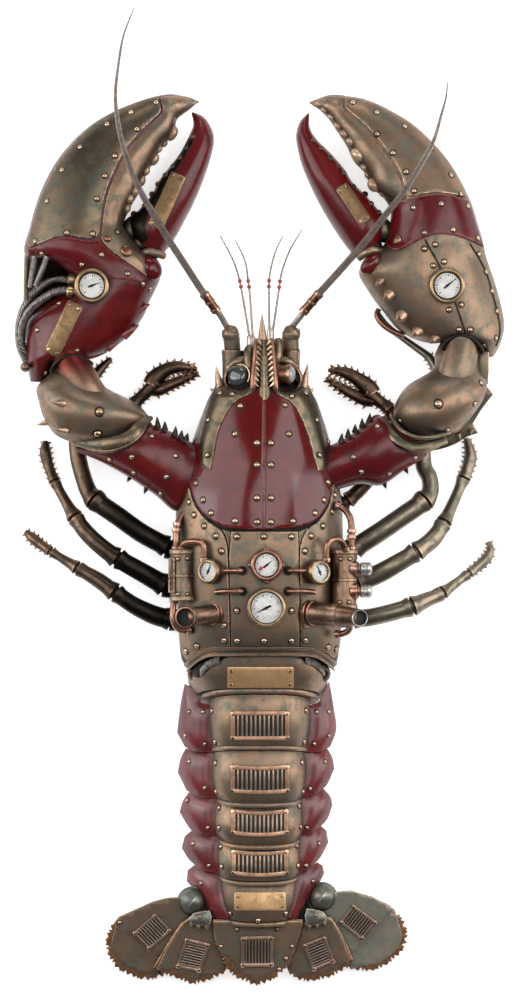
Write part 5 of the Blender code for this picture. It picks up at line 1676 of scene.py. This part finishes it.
def faded(material, axis, start, end, tone):
    """Turns a finish to another tone between two distances along an axis, in metres."""
    tree = material.node_tree
    base = tree.nodes["Principled BSDF"].inputs["Base Color"]
    spot = place(tree, "ShaderNodeTexCoord").outputs["Object"]
    parts = place(tree, "ShaderNodeSeparateXYZ", Vector=spot)
    fade = place(tree, "ShaderNodeMapRange", Value=parts.outputs[axis], From_Min=start, From_Max=end)
    tree.links.new(tint(tree, fade.outputs["Result"], base.links[0].from_socket, tone), base)


red_bronze = bronze.copy()
red_bronze.name = "reddened_bronze"
faded(red_bronze, "Y", 0.108, 0.134, (0.1, 0.012, 0.01))
necks = bmesh.new()
run(necks, course(
    [
        (-198.5, 153, 45, 9), (-198, 151, 46, 13.4), (-197, 146, 48, 16.6), (-194, 138, 53, 17),
        (-186, 124, 61, 17), (-178, 110, 64, 17), (-170, 98, 61, 17),
    ],
    4,
), ROUND_24)
piece("elbow_neck_left", necks, red_bronze, "aged_bronze")
necks = bmesh.new()
run(necks, course([
    (197, 164, 50, 10), (197, 162, 51, 14), (196.6, 158, 52, 17), (196, 150, 55, 17.6), (194, 138, 59, 17.6),
    (190, 122, 61, 18), (186, 106, 58, 18),
], 4), ROUND_24)
piece("elbow_neck_right", necks, bronze, "aged_bronze")
# Dark rods of painted shade round the wrists, where each elbow neck goes into its claw.
gaps = bmesh.new()
for path in ([
    (-213, 128, 60), (-209, 136, 64), (-200, 142.4, 67), (-188.6, 143.6, 67), (-179.6, 140, 65),
    (-173, 135, 61),
], [(177, 150, 62), (182, 158.6, 65), (191, 163.4, 66), (203.6, 163, 66), (213, 155, 63), (217, 147, 58)]):
    run(gaps, [(*stop, 2.6) for stop in course(path, 5)], ROUND_12, 0.8)
piece("wrist_gaps", gaps, shadowed, "aged_bronze")


# Big claws, outer parts. A palm with its fixed finger and a second finger shape beside it, fixed
# too; the left palm is red enamel, the right one bronze. Hollow castings.
PALMS = {
    "left": [
        (-235, 118.5, -214, 117.5, 16, 38), (-238.5, 138, -207, 139, 4, 56), (-239, 152, -174, 141, 0, 64),
        (-239, 165, -146, 156, 0, 68), (-235.6, 182, -124, 180, 0, 71), (-218, 197, -116, 198, 0, 72),
        (-199, 210, -109, 212, 0, 72), (-197, 224, -105, 224, 0, 72), (-215, 239, -111, 239, 0, 72),
        (-240.5, 246, -127, 256, 0, 71), (-235, 275, -141, 274, 2, 68), (-225, 308, -135, 292, 3, 64),
        (-209, 339, -127, 306, 5, 60), (-190, 362, -121, 321, 7, 56), (-171, 378, -111, 340, 8, 52),
        (-150, 390, -103, 354, 10, 48), (-130, 398, -91, 368, 12, 44), (-110, 404.5, -88, 381, 14, 40),
        (-90, 406.5, -77, 391, 17, 35), (-66.5, 399.6, -66, 398.4, 24, 26),
    ],
    "right": [
        (229, 143.5, 218, 142.5, 16, 38), (235.6, 156, 205, 160, 4, 56), (239.6, 172, 166, 157, 0, 64),
        (238, 188, 137, 168, 0, 68), (234, 205, 118, 189, 0, 71), (228, 225, 103, 210, 0, 72),
        (222, 242, 94, 228, 0, 72), (219.5, 253, 105, 243, 0, 72), (217, 264, 120, 257, 0, 72),
        (213, 277, 124, 272, 0, 71), (208, 294, 126, 289, 1, 68), (199, 314, 118, 303, 3, 64),
        (187, 335, 106, 313, 5, 60), (171, 355, 100, 327, 7, 56), (150, 375, 89, 339, 8, 52),
        (128, 389, 82, 354, 10, 48), (105, 400, 73, 368, 12, 44), (85, 404.5, 64, 381, 14, 40),
        (65, 406, 54, 391, 17, 35), (44.6, 398.8, 44, 397.6, 24, 26),
    ],
}
FINGERS = {
    "left": [
        (-104, 243, -132, 262, 18, 54), (-92, 259, -138, 278, 9, 60), (-80, 280, -127, 290, 8, 60),
        (-69, 302, -114, 305, 9, 58), (-61, 322, -107, 319, 10, 55), (-55, 340, -97, 332, 11, 51),
        (-51, 358, -84, 349, 13, 46), (-53, 371, -76, 365, 15, 41), (-61, 383.5, -72, 376, 18, 35),
        (-72.6, 388.6, -73.6, 387.4, 25, 27),
    ],
    "right": [
        (90, 243, 118, 261, 18, 54), (78, 258, 121, 281, 9, 60), (65, 278, 113, 291, 8, 60),
        (53, 299, 102, 304, 9, 58), (43, 320, 88, 318, 10, 55), (37, 335, 79, 332, 11, 51),
        (33, 350, 66, 347, 13, 46), (31, 365, 52, 361, 15, 41), (35, 379, 45, 373, 18, 35),
        (43.4, 387.6, 44.4, 386.4, 25, 27),
    ],
}
palm_left = shell("palm_left", PALMS["left"], 6, CLAW, satin, "oxblood_enamel", "palm_left")
palm_right = shell("palm_right", PALMS["right"], 6, CLAW, bronze, "aged_bronze", "palm_right")
finger_left = shell("finger_left", FINGERS["left"], 6, CLAW, satin, "oxblood_enamel", "finger_left")
finger_right = shell("finger_right", FINGERS["right"], 6, CLAW, satin, "oxblood_enamel", "finger_right")
left_ground = over(palm_left)
right_ground = over(palm_right)
COVER_LEFT = [
    (-107, 402), (-105, 395), (-105, 388), (-116, 377), (-127, 366), (-138, 353), (-146, 340), (-153, 325),
    (-159, 310), (-163, 295), (-165, 280), (-166, 268), (-169, 263), (-175, 261), (-185, 262), (-195, 264),
    (-205, 263), (-215, 260), (-225, 256), (-234, 252.5), (-237, 256), (-234, 268), (-229, 287), (-221, 308),
    (-213, 324.5), (-204, 340), (-194, 353.5), (-183, 365.5), (-171, 375.5), (-157, 384.5), (-142, 392),
    (-127, 398), (-114, 402),
]
STRIP_LEFT = [
    (-68, 398.4), (-72, 401), (-80, 403.5), (-92, 404), (-104, 402.5), (-103, 395), (-103, 387),
    (-113.5, 376), (-124.5, 365), (-135.5, 352), (-143.5, 339), (-150.5, 324), (-156.5, 309), (-160.5, 294),
    (-162.5, 279), (-163.5, 267), (-163, 259), (-153, 248), (-143, 241), (-129, 231), (-119, 224),
    (-116, 240), (-130, 257), (-143.5, 275), (-138, 292), (-130, 306), (-124, 321), (-114, 340), (-106, 354),
    (-94.5, 368), (-90.5, 380), (-79, 389.5), (-72, 395),
]
COLLAR_LEFT = [
    (-236, 251.5), (-232, 252), (-225, 254), (-215, 258), (-205, 261), (-195, 261.5), (-185, 260),
    (-175, 258.5), (-167, 259.5), (-163, 255.5), (-154, 246), (-144, 239), (-131, 229), (-121, 222),
    (-124, 217), (-140, 220), (-160, 222), (-175, 224.5), (-185, 228), (-195, 231), (-205, 235),
    (-215, 238.5), (-225, 240.5), (-236, 243),
]
COVER_RIGHT = [
    (80, 403), (90, 401.5), (100, 399), (110, 396), (120, 391), (130, 386), (140, 380), (150, 373),
    (160, 364), (170, 354), (179.5, 343), (188.5, 329), (197.5, 312.5), (201.5, 302), (197, 303.5),
    (185, 305.5), (172, 307), (160, 306), (150, 303.5), (145, 303), (142.5, 306), (139, 317), (134, 330),
    (126, 343), (116, 357), (106, 369), (96, 379), (84, 389), (80, 394),
]
STRIP_RIGHT = [
    (48, 395.5), (58, 402), (68, 403.5), (78, 403), (78, 393), (82, 387), (94, 377), (104, 367), (114, 355),
    (124, 341), (132, 328), (137, 315), (141, 304), (138, 301), (128, 300), (121.5, 303), (109, 313),
    (103, 327), (92, 339), (85, 354), (76, 368), (67, 381), (57, 390.5),
]
COLLAR_RIGHT = [
    (127, 298), (136, 300), (143, 300.5), (150, 301.5), (160, 304), (172, 305), (185, 303.5), (195, 301.5),
    (202.5, 299.5), (207.5, 285), (212, 270), (216, 258), (218, 253), (210, 257), (200, 261), (190, 264),
    (180, 265.5), (168, 265), (157, 261), (147, 256), (138, 251), (130, 249), (124, 252.5), (122.5, 258),
    (125.5, 270), (129, 285),
]
# A darker copy of the bronze for the left claw cover: painted shade.
shaded_cover_bronze = finish(
    "shaded_cover_bronze", [(0.1, 0.08, 0.056), (0.13, 0.09, 0.058), (0.06, 0.076, 0.064)],
    (0.01, 0.017, 0.015), (0.5, 0.35, 0.25), (0.35, 0.48),
)
cover_left = raised(
    COVER_LEFT, 1.8, "claw_cover_left", shaded_cover_bronze, "aged_bronze", left_ground, lip=1.1, cell=4,
)
strip_left = raised(
    STRIP_LEFT, 1.6, "claw_frame_left", bronze, "aged_bronze", left_ground, lip=0.9, crown=5, crown_reach=12
)
collar_left = raised(
    COLLAR_LEFT, 2.2, "claw_collar_left", satin, "oxblood_enamel", left_ground, lip=1.2, cell=4,
)
cover_right = raised(
    COVER_RIGHT, 1.8, "claw_cover_right", bronze, "aged_bronze", right_ground, lip=1.1, cell=4,
)
strip_right = raised(
    STRIP_RIGHT, 1.6, "claw_frame_right", bronze, "aged_bronze", right_ground, lip=0.9, crown=5,
    crown_reach=12,
)
collar_right = raised(
    COLLAR_RIGHT, 2.4, "claw_collar_right", satin, "oxblood_enamel", right_ground, lip=1.2, cell=4,
)
left_top = over(palm_left, cover_left, strip_left, collar_left)
right_top = over(palm_right, cover_right, strip_right, collar_right)
rivets("claw_rivets_left", [
    (-109, 398), (-134, 388), (-158, 376), (-185, 353), (-203, 330), (-218, 299), (-230, 258.5), (-198, 267),
    (-172, 266), (-168, 301), (-160, 324), (-150, 344), (-128, 371), (-223, 246), (-183, 235), (-163, 245),
    (-137, 226), (-147, 268), (-206, 197), (-219, 127), (-115, 211), (-122, 216), (-188, 149), (-228, 170),
    (-158, 150),
], left_top, rivet_metal, "aged_bronze", 2.6)
rivets("claw_rivets_right", [
    (88, 398), (112, 388), (140, 374), (166, 352), (186, 325), (112, 366), (128, 347), (141, 328),
    (149, 309), (196, 306), (159, 267), (188, 270), (213, 262), (203, 294), (170, 255), (159, 251),
    (179, 238), (168, 234), (196, 195), (184, 190), (205, 170), (194, 170), (214, 246), (221, 228),
    (227, 209), (232, 189), (231, 162), (219, 155), (148, 292), (176, 296),
], right_top, rivet_metal, "aged_bronze", 2.6)
pivots = bmesh.new()
for x, y, ground, wide in (
    (-138, 249, left_top, 6.2), (132, 260, right_top, 5.4), (-157, 261, left_top, 3.4),
):
    foot, normal = ground(x, y)
    turned(pivots, foot, normal, [
        (-1, wide), (1.4, wide), (2.2, wide * 0.9), (2.8, wide * 0.62), (3.0, wide * 0.2),
    ], 24)
piece("claw_pivots", pivots, copper, "copper_tube")
seams = bmesh.new()
for path in (
    [(160, 260), (164, 252), (170, 242), (175, 232)], [(190, 198), (194, 186), (198, 174), (202, 163)],
    [(205, 256), (215, 240), (222, 225), (228, 205), (233, 185), (235, 168), (231, 154)],
):
    stops = course(path, 8)
    run(seams, [(x, y, right_top(x, y)[0].z * 1000 + 0.1, 0.9) for x, y in stops], ROUND_8)
piece("claw_seams_right", seams, shadowed, "aged_bronze")
finger_tops = over(finger_left, finger_right)
EDGE_LEFT = [
    (-76, 363), (-87, 343), (-95, 331), (-103, 322), (-106, 314), (-114, 303), (-124, 294), (-131, 286),
    (-136, 277), (-137, 266), (-132, 259), (-122, 257), (-116, 262), (-119, 272), (-117, 284), (-107, 298),
    (-97, 314), (-90, 327), (-81, 342), (-71, 358),
]
raised(EDGE_LEFT, 0.7, "finger_edge_left", shadowed, "aged_bronze", finger_tops, lip=0.5, cell=3, ease=0)
dim_brass = finish(
    "dim_brass", [(0.19, 0.115, 0.055), (0.24, 0.15, 0.075), (0.13, 0.08, 0.042)],
    (0.03, 0.018, 0.01), (0.55, 0.38, 0.22), (0.46, 0.6), metallic=0.8, size=60.0,
)
name_plate("finger_plate_left", (-98, 299), 58, 15, (26, 58), finger_tops, dim_brass, 3.2)
name_plate("finger_plate_right", (88, 296), 43, 13, (-25, 37), finger_tops, dim_brass, 3.0)
name_plate("palm_plate_left", (-201, 171), 56, 16, (24, 50), left_top, dim_brass, 3.4)
gauge(
    "claw_gauge_left", at(-173, 214, 66), (0, 0, 1), 17.5, 14.5, 5.0, 12, 20, worn_brass, "brass", ticks=24,
)
gauge(
    "claw_gauge_right", at(182, 214, 66), (0, 0, 1), 18, 14.5, 4.8, 12.6, 40, worn_brass, "copper_tube",
    ticks=24,
)
EGG_ROWS = {28: 16, 16: 10, 12: 8}


def egg(bm, spot, half_axes, angle=0, sides=28):
    """Adds a rounded swelling at a point in metres, its half axes in millimetres."""
    stand = Matrix.Translation(spot) @ Matrix.Rotation(radians(angle), 4, "Z")
    scale = Matrix.Diagonal((*half_axes, 1))
    bmesh.ops.create_uvsphere(
        bm, u_segments=sides, v_segments=EGG_ROWS[sides], radius=0.001, matrix=stand @ scale,
    )


teeth = bmesh.new()
bumps = bmesh.new()
for ground, rows in (
    (left_top, (
        (-78, 388, 3, 4, 40), (-85, 380, 3.4, 4.4, 45), (-93, 367, 5.4, 8.4, 62), (-101, 357, 3.4, 4.4, 50),
        (-106.5, 351, 3.4, 4.6, 50), (-111, 341, 4.8, 7, 62), (-119, 329, 3.8, 5, 60),
        (-124, 319, 4.4, 6.4, 66), (-130, 309, 4.2, 5.2, 60), (-135, 301, 3.8, 4.6, 70),
        (-138, 292, 4.0, 5.0, 85),
    )),
    (right_top, (
        (59, 390, 2.6, 3.6, -40), (66, 383, 2.8, 4, -50), (73, 374, 3.4, 4.6, -50), (79, 366, 4.2, 5, -50),
        (85, 358.5, 4, 4.6, -50), (92.5, 345, 6.2, 7.6, -58), (99, 333, 3.6, 4.2, -60),
        (103, 325, 3.4, 4, -60), (108.5, 315, 6, 7.4, -60), (116, 304, 4.2, 5, -50),
    )),
):
    for x, y, wide, long, angle in rows:
        egg(teeth, ground(x, y)[0], (long, wide, wide * 1.1), angle, 16)
for ground, rows in (
    (over(finger_left), (
        (-76, 366, 2.6), (-82, 355, 2.8), (-88, 345, 3.2), (-95, 336, 3.4), (-102, 327, 3.6), (-107, 316, 3),
        (-113, 306, 3.2), (-122, 296, 3.4), (-131, 286, 3.6),
    )),
    (over(finger_right), (
        (52, 364, 2.4), (60, 356, 3), (68, 345, 3.2), (76, 336, 2.8), (82, 329, 3.4), (91, 316, 3),
        (100, 306, 3.4), (108, 298, 3.6), (116, 290, 3.4),
    )),
):
    for x, y, wide in rows:
        egg(bumps, ground(x, y)[0], (wide, wide, wide * 0.8), 0, 12)
piece("finger_bumps", bumps, dark, "aged_bronze")
bone = finish(
    "tooth_bone", [(0.3, 0.17, 0.1), (0.42, 0.28, 0.18), (0.17, 0.09, 0.055)],
    (0.03, 0.016, 0.01), (0.75, 0.6, 0.44), (0.3, 0.45), metallic=0.5,
)
piece("claw_teeth", teeth, bone, "tooth_bone")
knuckles = bmesh.new()
for x, y, z, wide, long, angle in (
    (-132, 271, 36, 12, 16, 55), (-122, 258, 40, 11, 14, 30), (-112, 250, 38, 9, 13, 55),
    (117, 271, 36, 11, 15, -55), (106, 256, 38, 10, 14, -50),
):
    egg(knuckles, at(x, y, z), (long, wide, wide), angle)
piece("claw_knuckles", knuckles, verdigris, "aged_bronze")
rings = bmesh.new()
run(rings, course(
    [(-127, 244, 46, 3.4), (-118, 248, 52, 4), (-109, 247, 52, 4.2), (-101, 244, 46, 3.6)], 5,
), ROUND_12)
run(rings, course(
    [(118, 248, 46, 3.4), (109, 250, 52, 4), (101, 247, 52, 4), (94, 242, 46, 3.4)], 5,
), ROUND_12)
piece("finger_root_rings", rings, bronze, "aged_bronze")
lobes = bmesh.new()
for x, y, z, wide, long, angle in ((-115, 232, 52, 11, 14, -50), (106, 236, 52, 8, 13, 42)):
    egg(lobes, at(x, y, z), (long, wide, wide), angle)
piece("claw_lobes", lobes, enamel, "oxblood_enamel")
spikes = bmesh.new()
for base, tip, thickness in (
    ((-127, 190, 44), (-115, 196, 44), 5.6), ((-142, 166, 42), (-126, 175, 42), 7),
    ((-158, 153, 42), (-145, 160, 40), 6), ((-176, 146, 40), (-166, 144, 40), 5.4),
):
    cone(spikes, base, tip, thickness, 14, 2)
piece("palm_spikes_left", spikes, enamel, "oxblood_enamel")
bosses = bmesh.new()
for x, y, wide in ((120.5, 202, 6), (133, 181, 6.4), (149, 165.5, 6), (166.5, 158.5, 5.4), (112, 216, 4)):
    foot = right_ground(x + 4, y + 3)[0] * 1000 - DRAWING_SHIFT
    cone(bosses, tuple(foot), (x - 2, y - 2, foot.z + 3), wide, 12, 3)
piece("palm_bosses_right", bosses, bronze, "aged_bronze")


# Wire ropes. Two steel ropes of six strands bow out round the heel of the left claw, from brass ends
# in its dark opening to the palm's edge, stiff enough to keep their bow. Two short ones lie beside them.
ROPES = {
    "claw_cable_outer": [
        (-190, 219, 40), (-200, 221, 40), (-211, 221, 40), (-222, 215, 40), (-232, 206, 40), (-241, 193, 39),
        (-245.4, 180, 37), (-246.6, 167, 35), (-245.4, 154, 33), (-240, 141, 32), (-232, 132, 32),
    ],
    "claw_cable_inner": [
        (-188, 208, 56), (-198, 210, 58), (-210, 208, 60), (-222, 201, 60), (-234, 191, 54),
        (-241.6, 178, 46), (-243.6, 165, 38), (-242, 152, 33), (-236, 142, 31), (-226, 135, 31),
    ],
}
rope_steel = finish(
    "rope_steel", [(0.085, 0.074, 0.068), (0.12, 0.105, 0.096), (0.05, 0.043, 0.039)],
    (0.005, 0.004, 0.004), (0.42, 0.37, 0.34), (0.34, 0.46), metallic=0.9, size=60.0, dirt_and_shade=1.0, relief=0.0,
)
STRAND = section(10)


def wire_rope(bm, points, thick=1.35, turn=22.0):
    """Six strands laid round one another along a course, one full turn in so many millimetres."""
    middle = evenly([(*point, 1.0) for point in points], 1.6)
    for strand in range(6):
        path = []
        for i, (x, y, z, _) in enumerate(middle):
            before, after = middle[max(i - 1, 0)], middle[min(i + 1, len(middle) - 1)]
            forward = Vector([b - a for a, b in zip(before[:3], after[:3])]).normalized()
            side = forward.cross(Vector((0, 0, 1))).normalized()
            up = side.cross(forward)
            angle = strand * pi / 3 + i * 1.6 / turn * 2 * pi
            spot = Vector((x, y, z)) + (side * cos(angle) + up * sin(angle)) * thick * 1.9
            path.append((*spot, thick))
        run(bm, path, STRAND)


for name, points in ROPES.items():
    bm = bmesh.new()
    wire_rope(bm, points)
    piece(name, bm, rope_steel, "wire_steel", name)
# A dark body of painted shade fills the heel's opening.
core = bmesh.new()
loft(core, [rib(row) for row in course([
    (-240, 160, -224, 162, 10, 26), (-242, 180, -214, 186, 8, 30), (-242, 200, -196, 200, 8, 34),
    (-241, 216, -188, 214, 8, 38), (-240, 232, -190, 228, 8, 48), (-238, 246, -196, 242, 10, 56),
], 5)], CLAW)
piece("claw_heel_core", core, shadowed, "aged_bronze")
struts = bmesh.new()
run(struts, course(
    [(-238, 246, 52, 2.6), (-238.4, 232, 50, 2.6), (-239, 216, 48, 2.4), (-239, 200, 46, 2.2)], 5,
), ROUND_12)
turned(struts, at(-240, 133, 44), (0, 0, 1), [(-6, 3), (-2, 4.6), (0, 5), (2, 4.6), (4, 3), (5, 1)], 18)
piece("claw_heel_struts", struts, verdigris, "aged_bronze")
fittings = bmesh.new()
turned(fittings, at(-188, 220, 50), (-1, 0.1, 0), [(-6, 5), (2, 5), (2.6, 6), (8, 6), (9, 5)], 18)
turned(fittings, at(-190, 208, 60), (-1, 0.1, 0), [(-6, 5), (2, 5), (2.6, 5.8), (7, 5.8), (8, 5)], 18)
piece("claw_rope_fittings", fittings, brass, "brass")
short = bmesh.new()
for path in (
    [(-230, 243, 58), (-232, 230, 58), (-234.6, 213, 54)],
    [(-218, 243, 62), (-222.6, 230, 62), (-229, 214, 56)],
):
    wire_rope(short, path, 1.05, 18.0)
piece("claw_short_ropes", short, rope_steel, "wire_steel")


# Walking legs. Four thin jointed legs on each side, near black at the body and brown bronze towards
# the tips, the darkening at the body being painted shade from the carapace above them; each joint is a
# flared cuff. The front pair end in small serrated pincers.
LEGS = {
    "leg_left_1": [
        (-76, -8, 26, 9), (-92, 4, 24, 9), (-112, 30, 21, 9), (-131, 60, 20, 8), (-137, 82, 20, 8),
        (-132, 95, 20, 7), (-121, 106, 20, 7), (-108, 118, 20, 11), (-94, 126, 20, 12.5),
        (-80, 130, 20, 9), (-66.5, 131, 20, 2.5),
    ],
    "leg_left_2": [
        (-83.2, -54.2, 36, 10.8), (-97.2, -47.2, 38, 10.8), (-123.2, -33.2, 40, 10.8),
        (-147.2, -16.2, 38, 10.8), (-167.2, -2.2, 34, 10.8), (-176.2, 7.8, 29, 9.7),
        (-182.2, 23.8, 24, 9.2), (-187.2, 43.8, 20, 9.2), (-188.9, 70.3, 18, 8.5), (-183.6, 98.8, 17, 8),
        (-175.3, 117.4, 16, 7), (-165, 131, 14, 5.5), (-154, 142, 12, 2.5),
    ],
    "leg_left_3": [
        (-83, -92.4, 40, 10.8), (-100, -85.4, 42, 11.3), (-123, -72.4, 46, 10.8), (-144, -60.4, 48, 10.3),
        (-159, -50.4, 47, 9.7), (-177, -34.4, 40, 9.2), (-190, -17.4, 32, 8.1), (-199.9, -1.1, 24, 5.9),
        (-210.6, 18.5, 16, 5.5), (-217.3, 35.2, 10, 6), (-220.1, 47.9, 8, 6.5), (-220, 59, 6, 3.5),
    ],
    "leg_left_4": [
        (-80, -123.4, 38, 10.8), (-94, -119.4, 40, 10.8), (-110, -115.4, 43, 10.8),
        (-131, -105.4, 45, 9.7), (-150, -92.4, 44, 9.2), (-168, -79.4, 38, 8.6), (-187, -68.4, 31, 7),
        (-206, -57, 23, 4.8), (-222, -46.6, 15, 5.5), (-233, -38.1, 9, 6), (-240, -31.5, 6, 3),
    ],
    "leg_right_1": [
        (68, -6, 26, 8), (82, -1, 24, 8), (103, 20, 21, 8), (121, 50, 20, 8), (129, 74, 20, 8),
        (125, 90, 20, 7), (114, 99, 20, 7), (102, 108, 20, 11), (88, 116, 20, 12.5), (74, 122, 20, 9),
        (60.5, 126.5, 20, 2.5),
    ],
    "leg_right_2": [
        (70.8, -56.2, 36, 10.8), (88.8, -48.2, 38, 10.8), (112.8, -33.2, 40, 10.8),
        (134.8, -18.2, 38, 10.8), (154.8, -4.2, 34, 10.8), (164.8, 6.8, 29, 9.7), (164.8, 21.8, 24, 9.2),
        (158.8, 35.8, 20, 9.2), (158.8, 63.8, 18, 9.2), (168.8, 95.9, 17, 8.6), (173, 124, 15, 7),
        (166, 141, 12, 5), (151, 153, 9, 4), (137, 163, 8, 3.5), (122, 175, 8, 3.5), (112, 190, 8, 2),
    ],
    "leg_right_3": [
        (70.6, -92.2, 40, 10.8), (93.6, -81.2, 42, 11.3), (112.6, -74.2, 45, 10.8),
        (132.6, -63.2, 48, 10.3), (150.6, -52.2, 47, 9.7), (167.6, -39.2, 40, 9.7),
        (178.6, -23.2, 33, 8.1), (186.5, -7, 25, 6.5), (194.4, 10.7, 17, 6), (202.2, 29.3, 11, 7),
        (206, 44.9, 8, 7), (202, 62, 6, 3.5),
    ],
    "leg_right_4": [
        (68.6, -119.4, 38, 9.7), (88.6, -118.4, 40, 9.7), (104.6, -117.4, 43, 9.7),
        (126.6, -112.4, 45, 9.7), (146.6, -106.4, 44, 9.7), (160.6, -100.4, 38, 8.6),
        (176.6, -93.4, 31, 7), (192.5, -82.2, 22, 5.2), (209.4, -69.9, 14, 5.5), (221.2, -59.5, 9, 6),
        (226, -50.1, 6, 4.5), (224, -41.5, 5, 2.5),
    ],
}
JOINTS = {
    "leg_left_1": [(-92, 4), (-131, 60), (-132, 95)],
    "leg_left_2": [(-97.2, -47.2), (-169.2, 0.8), (-188.9, 70.3), (-177.3, 115.4)],
    "leg_left_3": [(-100, -85.4), (-148, -58.4), (-190, -17.4), (-210.6, 18.5)],
    "leg_left_4": [(-94, -119.4), (-150, -92.4), (-187, -68.4), (-214, -52)],
    "leg_right_1": [(82, -1), (121, 50), (125, 90)],
    "leg_right_2": [(88.8, -48.2), (158.8, -0.2), (158.8, 63.8), (171, 118)],
    "leg_right_3": [(93.6, -81.2), (150.6, -52.2), (178.6, -23.2), (198.2, 21.3)],
    "leg_right_4": [(88.6, -118.4), (146.6, -106.4), (176.6, -93.4), (203.4, -73.9)],
}
leg_metal = finish(
    "leg_bronze", [(0.06, 0.038, 0.026), (0.1, 0.06, 0.04), (0.03, 0.024, 0.018)],
    (0.008, 0.006, 0.005), (0.5, 0.28, 0.18), (0.34, 0.48),
)
pale_leg = finish(
    "pale_leg_bronze", [(0.19, 0.158, 0.118), (0.25, 0.2, 0.145), (0.1, 0.105, 0.082)],
    (0.014, 0.013, 0.01), (0.5, 0.34, 0.24), (0.36, 0.5),
)
near_black = finish(
    "left_leg_bronze", [(0.085, 0.058, 0.04), (0.14, 0.09, 0.06), (0.045, 0.04, 0.032)],
    (0.01, 0.009, 0.008), (0.5, 0.3, 0.2), (0.34, 0.48),
)
# Painted shade: the back legs darken towards the body, where they pass under the carapace.
faded(near_black, "X", -0.18, -0.135, (0.016, 0.013, 0.01))
faded(pale_leg, "X", 0.12, 0.09, (0.06, 0.045, 0.032))
LEG = section(20)
spurs = bmesh.new()


def barbs(stops, places, sunk, reach, ahead, thick):
    """Adds a pair of spurs beside each of the places along a limb's stops."""
    for i in places:
        (x0, y0, _, _), (x1, y1, z, r) = stops[i - 1], stops[i]
        dx, dy = x1 - x0, y1 - y0
        size = hypot(dx, dy)
        for way in (-1, 1):
            ox, oy = -dy / size * way, dx / size * way
            root = (x1 + ox * r * sunk, y1 + oy * r * sunk, z)
            far = r + reach
            point = (x1 + ox * far + dx / size * ahead, y1 + oy * far + dy / size * ahead, z)
            cone(spurs, root, point, thick, 6)


for name, path in LEGS.items():
    bm = bmesh.new()
    if name.endswith("_1"):
        path = path[:8]
        path[-1] = (*path[-1][:3], 8.5)
    stops = evenly(path, 1.2)
    shaped = []
    for x, y, z, r in stops:
        near = min(hypot(x - jx, y - jy) for jx, jy in JOINTS[name])
        swell = 0.72 if near < 1.1 else 0.9 + 0.2 * max(0.0, 1 - (near - 1.1) / 7.0)
        shaped.append((x, y, z, r * swell))
    run(bm, shaped, LEG, 0.92)
    metal = leg_metal if name.endswith("_1") else near_black if "left" in name else pale_leg
    piece(name, bm, metal, "dark_bronze", name, sharp=32)
    first = len(stops) * (62 if name == "leg_right_2" else 80) // 100
    last = len(stops) * (80 if name == "leg_right_2" else 99) // 100
    barbs(stops, range(first, last, 5), 0.6, 2, 2, 1.8)
PINCERS = [
    [
        (-114, 115, 20, 9), (-110, 122, 20, 9), (-100, 130, 21, 7), (-88, 133.5, 21, 6), (-76, 132.5, 21, 4),
        (-68, 131.5, 21, 1.6),
    ],
    [
        (-114, 112, 19, 8), (-106, 111, 19, 7), (-96, 115, 19, 5.6), (-84, 120, 19, 5),
        (-74, 124.5, 19, 3.4), (-66.5, 128, 19, 1.2),
    ],
    [
        (108, 106, 20, 9), (103, 113, 20, 9), (93, 121, 21, 7), (82, 127, 21, 6), (72, 129.5, 21, 4),
        (63, 130, 21, 1.6),
    ],
    [
        (108, 101, 19, 8), (100, 101, 19, 7), (90, 105, 19, 5.6), (79, 111, 19, 5), (69, 117, 19, 3.4),
        (61, 122.5, 19, 1.2),
    ],
]
pincers = bmesh.new()
for path in PINCERS:
    stops = evenly(path, 2)
    run(pincers, stops, LEG, 0.8)
    barbs(stops, range(3, len(stops) - 1, 3), 0.4, 2.6, 4, 3.2)
piece("small_pincers", pincers, leg_metal, "dark_bronze")
piece("leg_spurs", spurs, leg_metal, "dark_bronze")
loop = bmesh.new()
hoop = [(114, 191, 24, 2.6), (112, 185, 26, 2.8), (117, 177, 28, 3), (126, 170, 30, 3), (139, 164, 32, 3)]
run(loop, course(hoop, 6), ROUND_12)
piece("arm_copper_loop", loop, copper, "copper_tube")
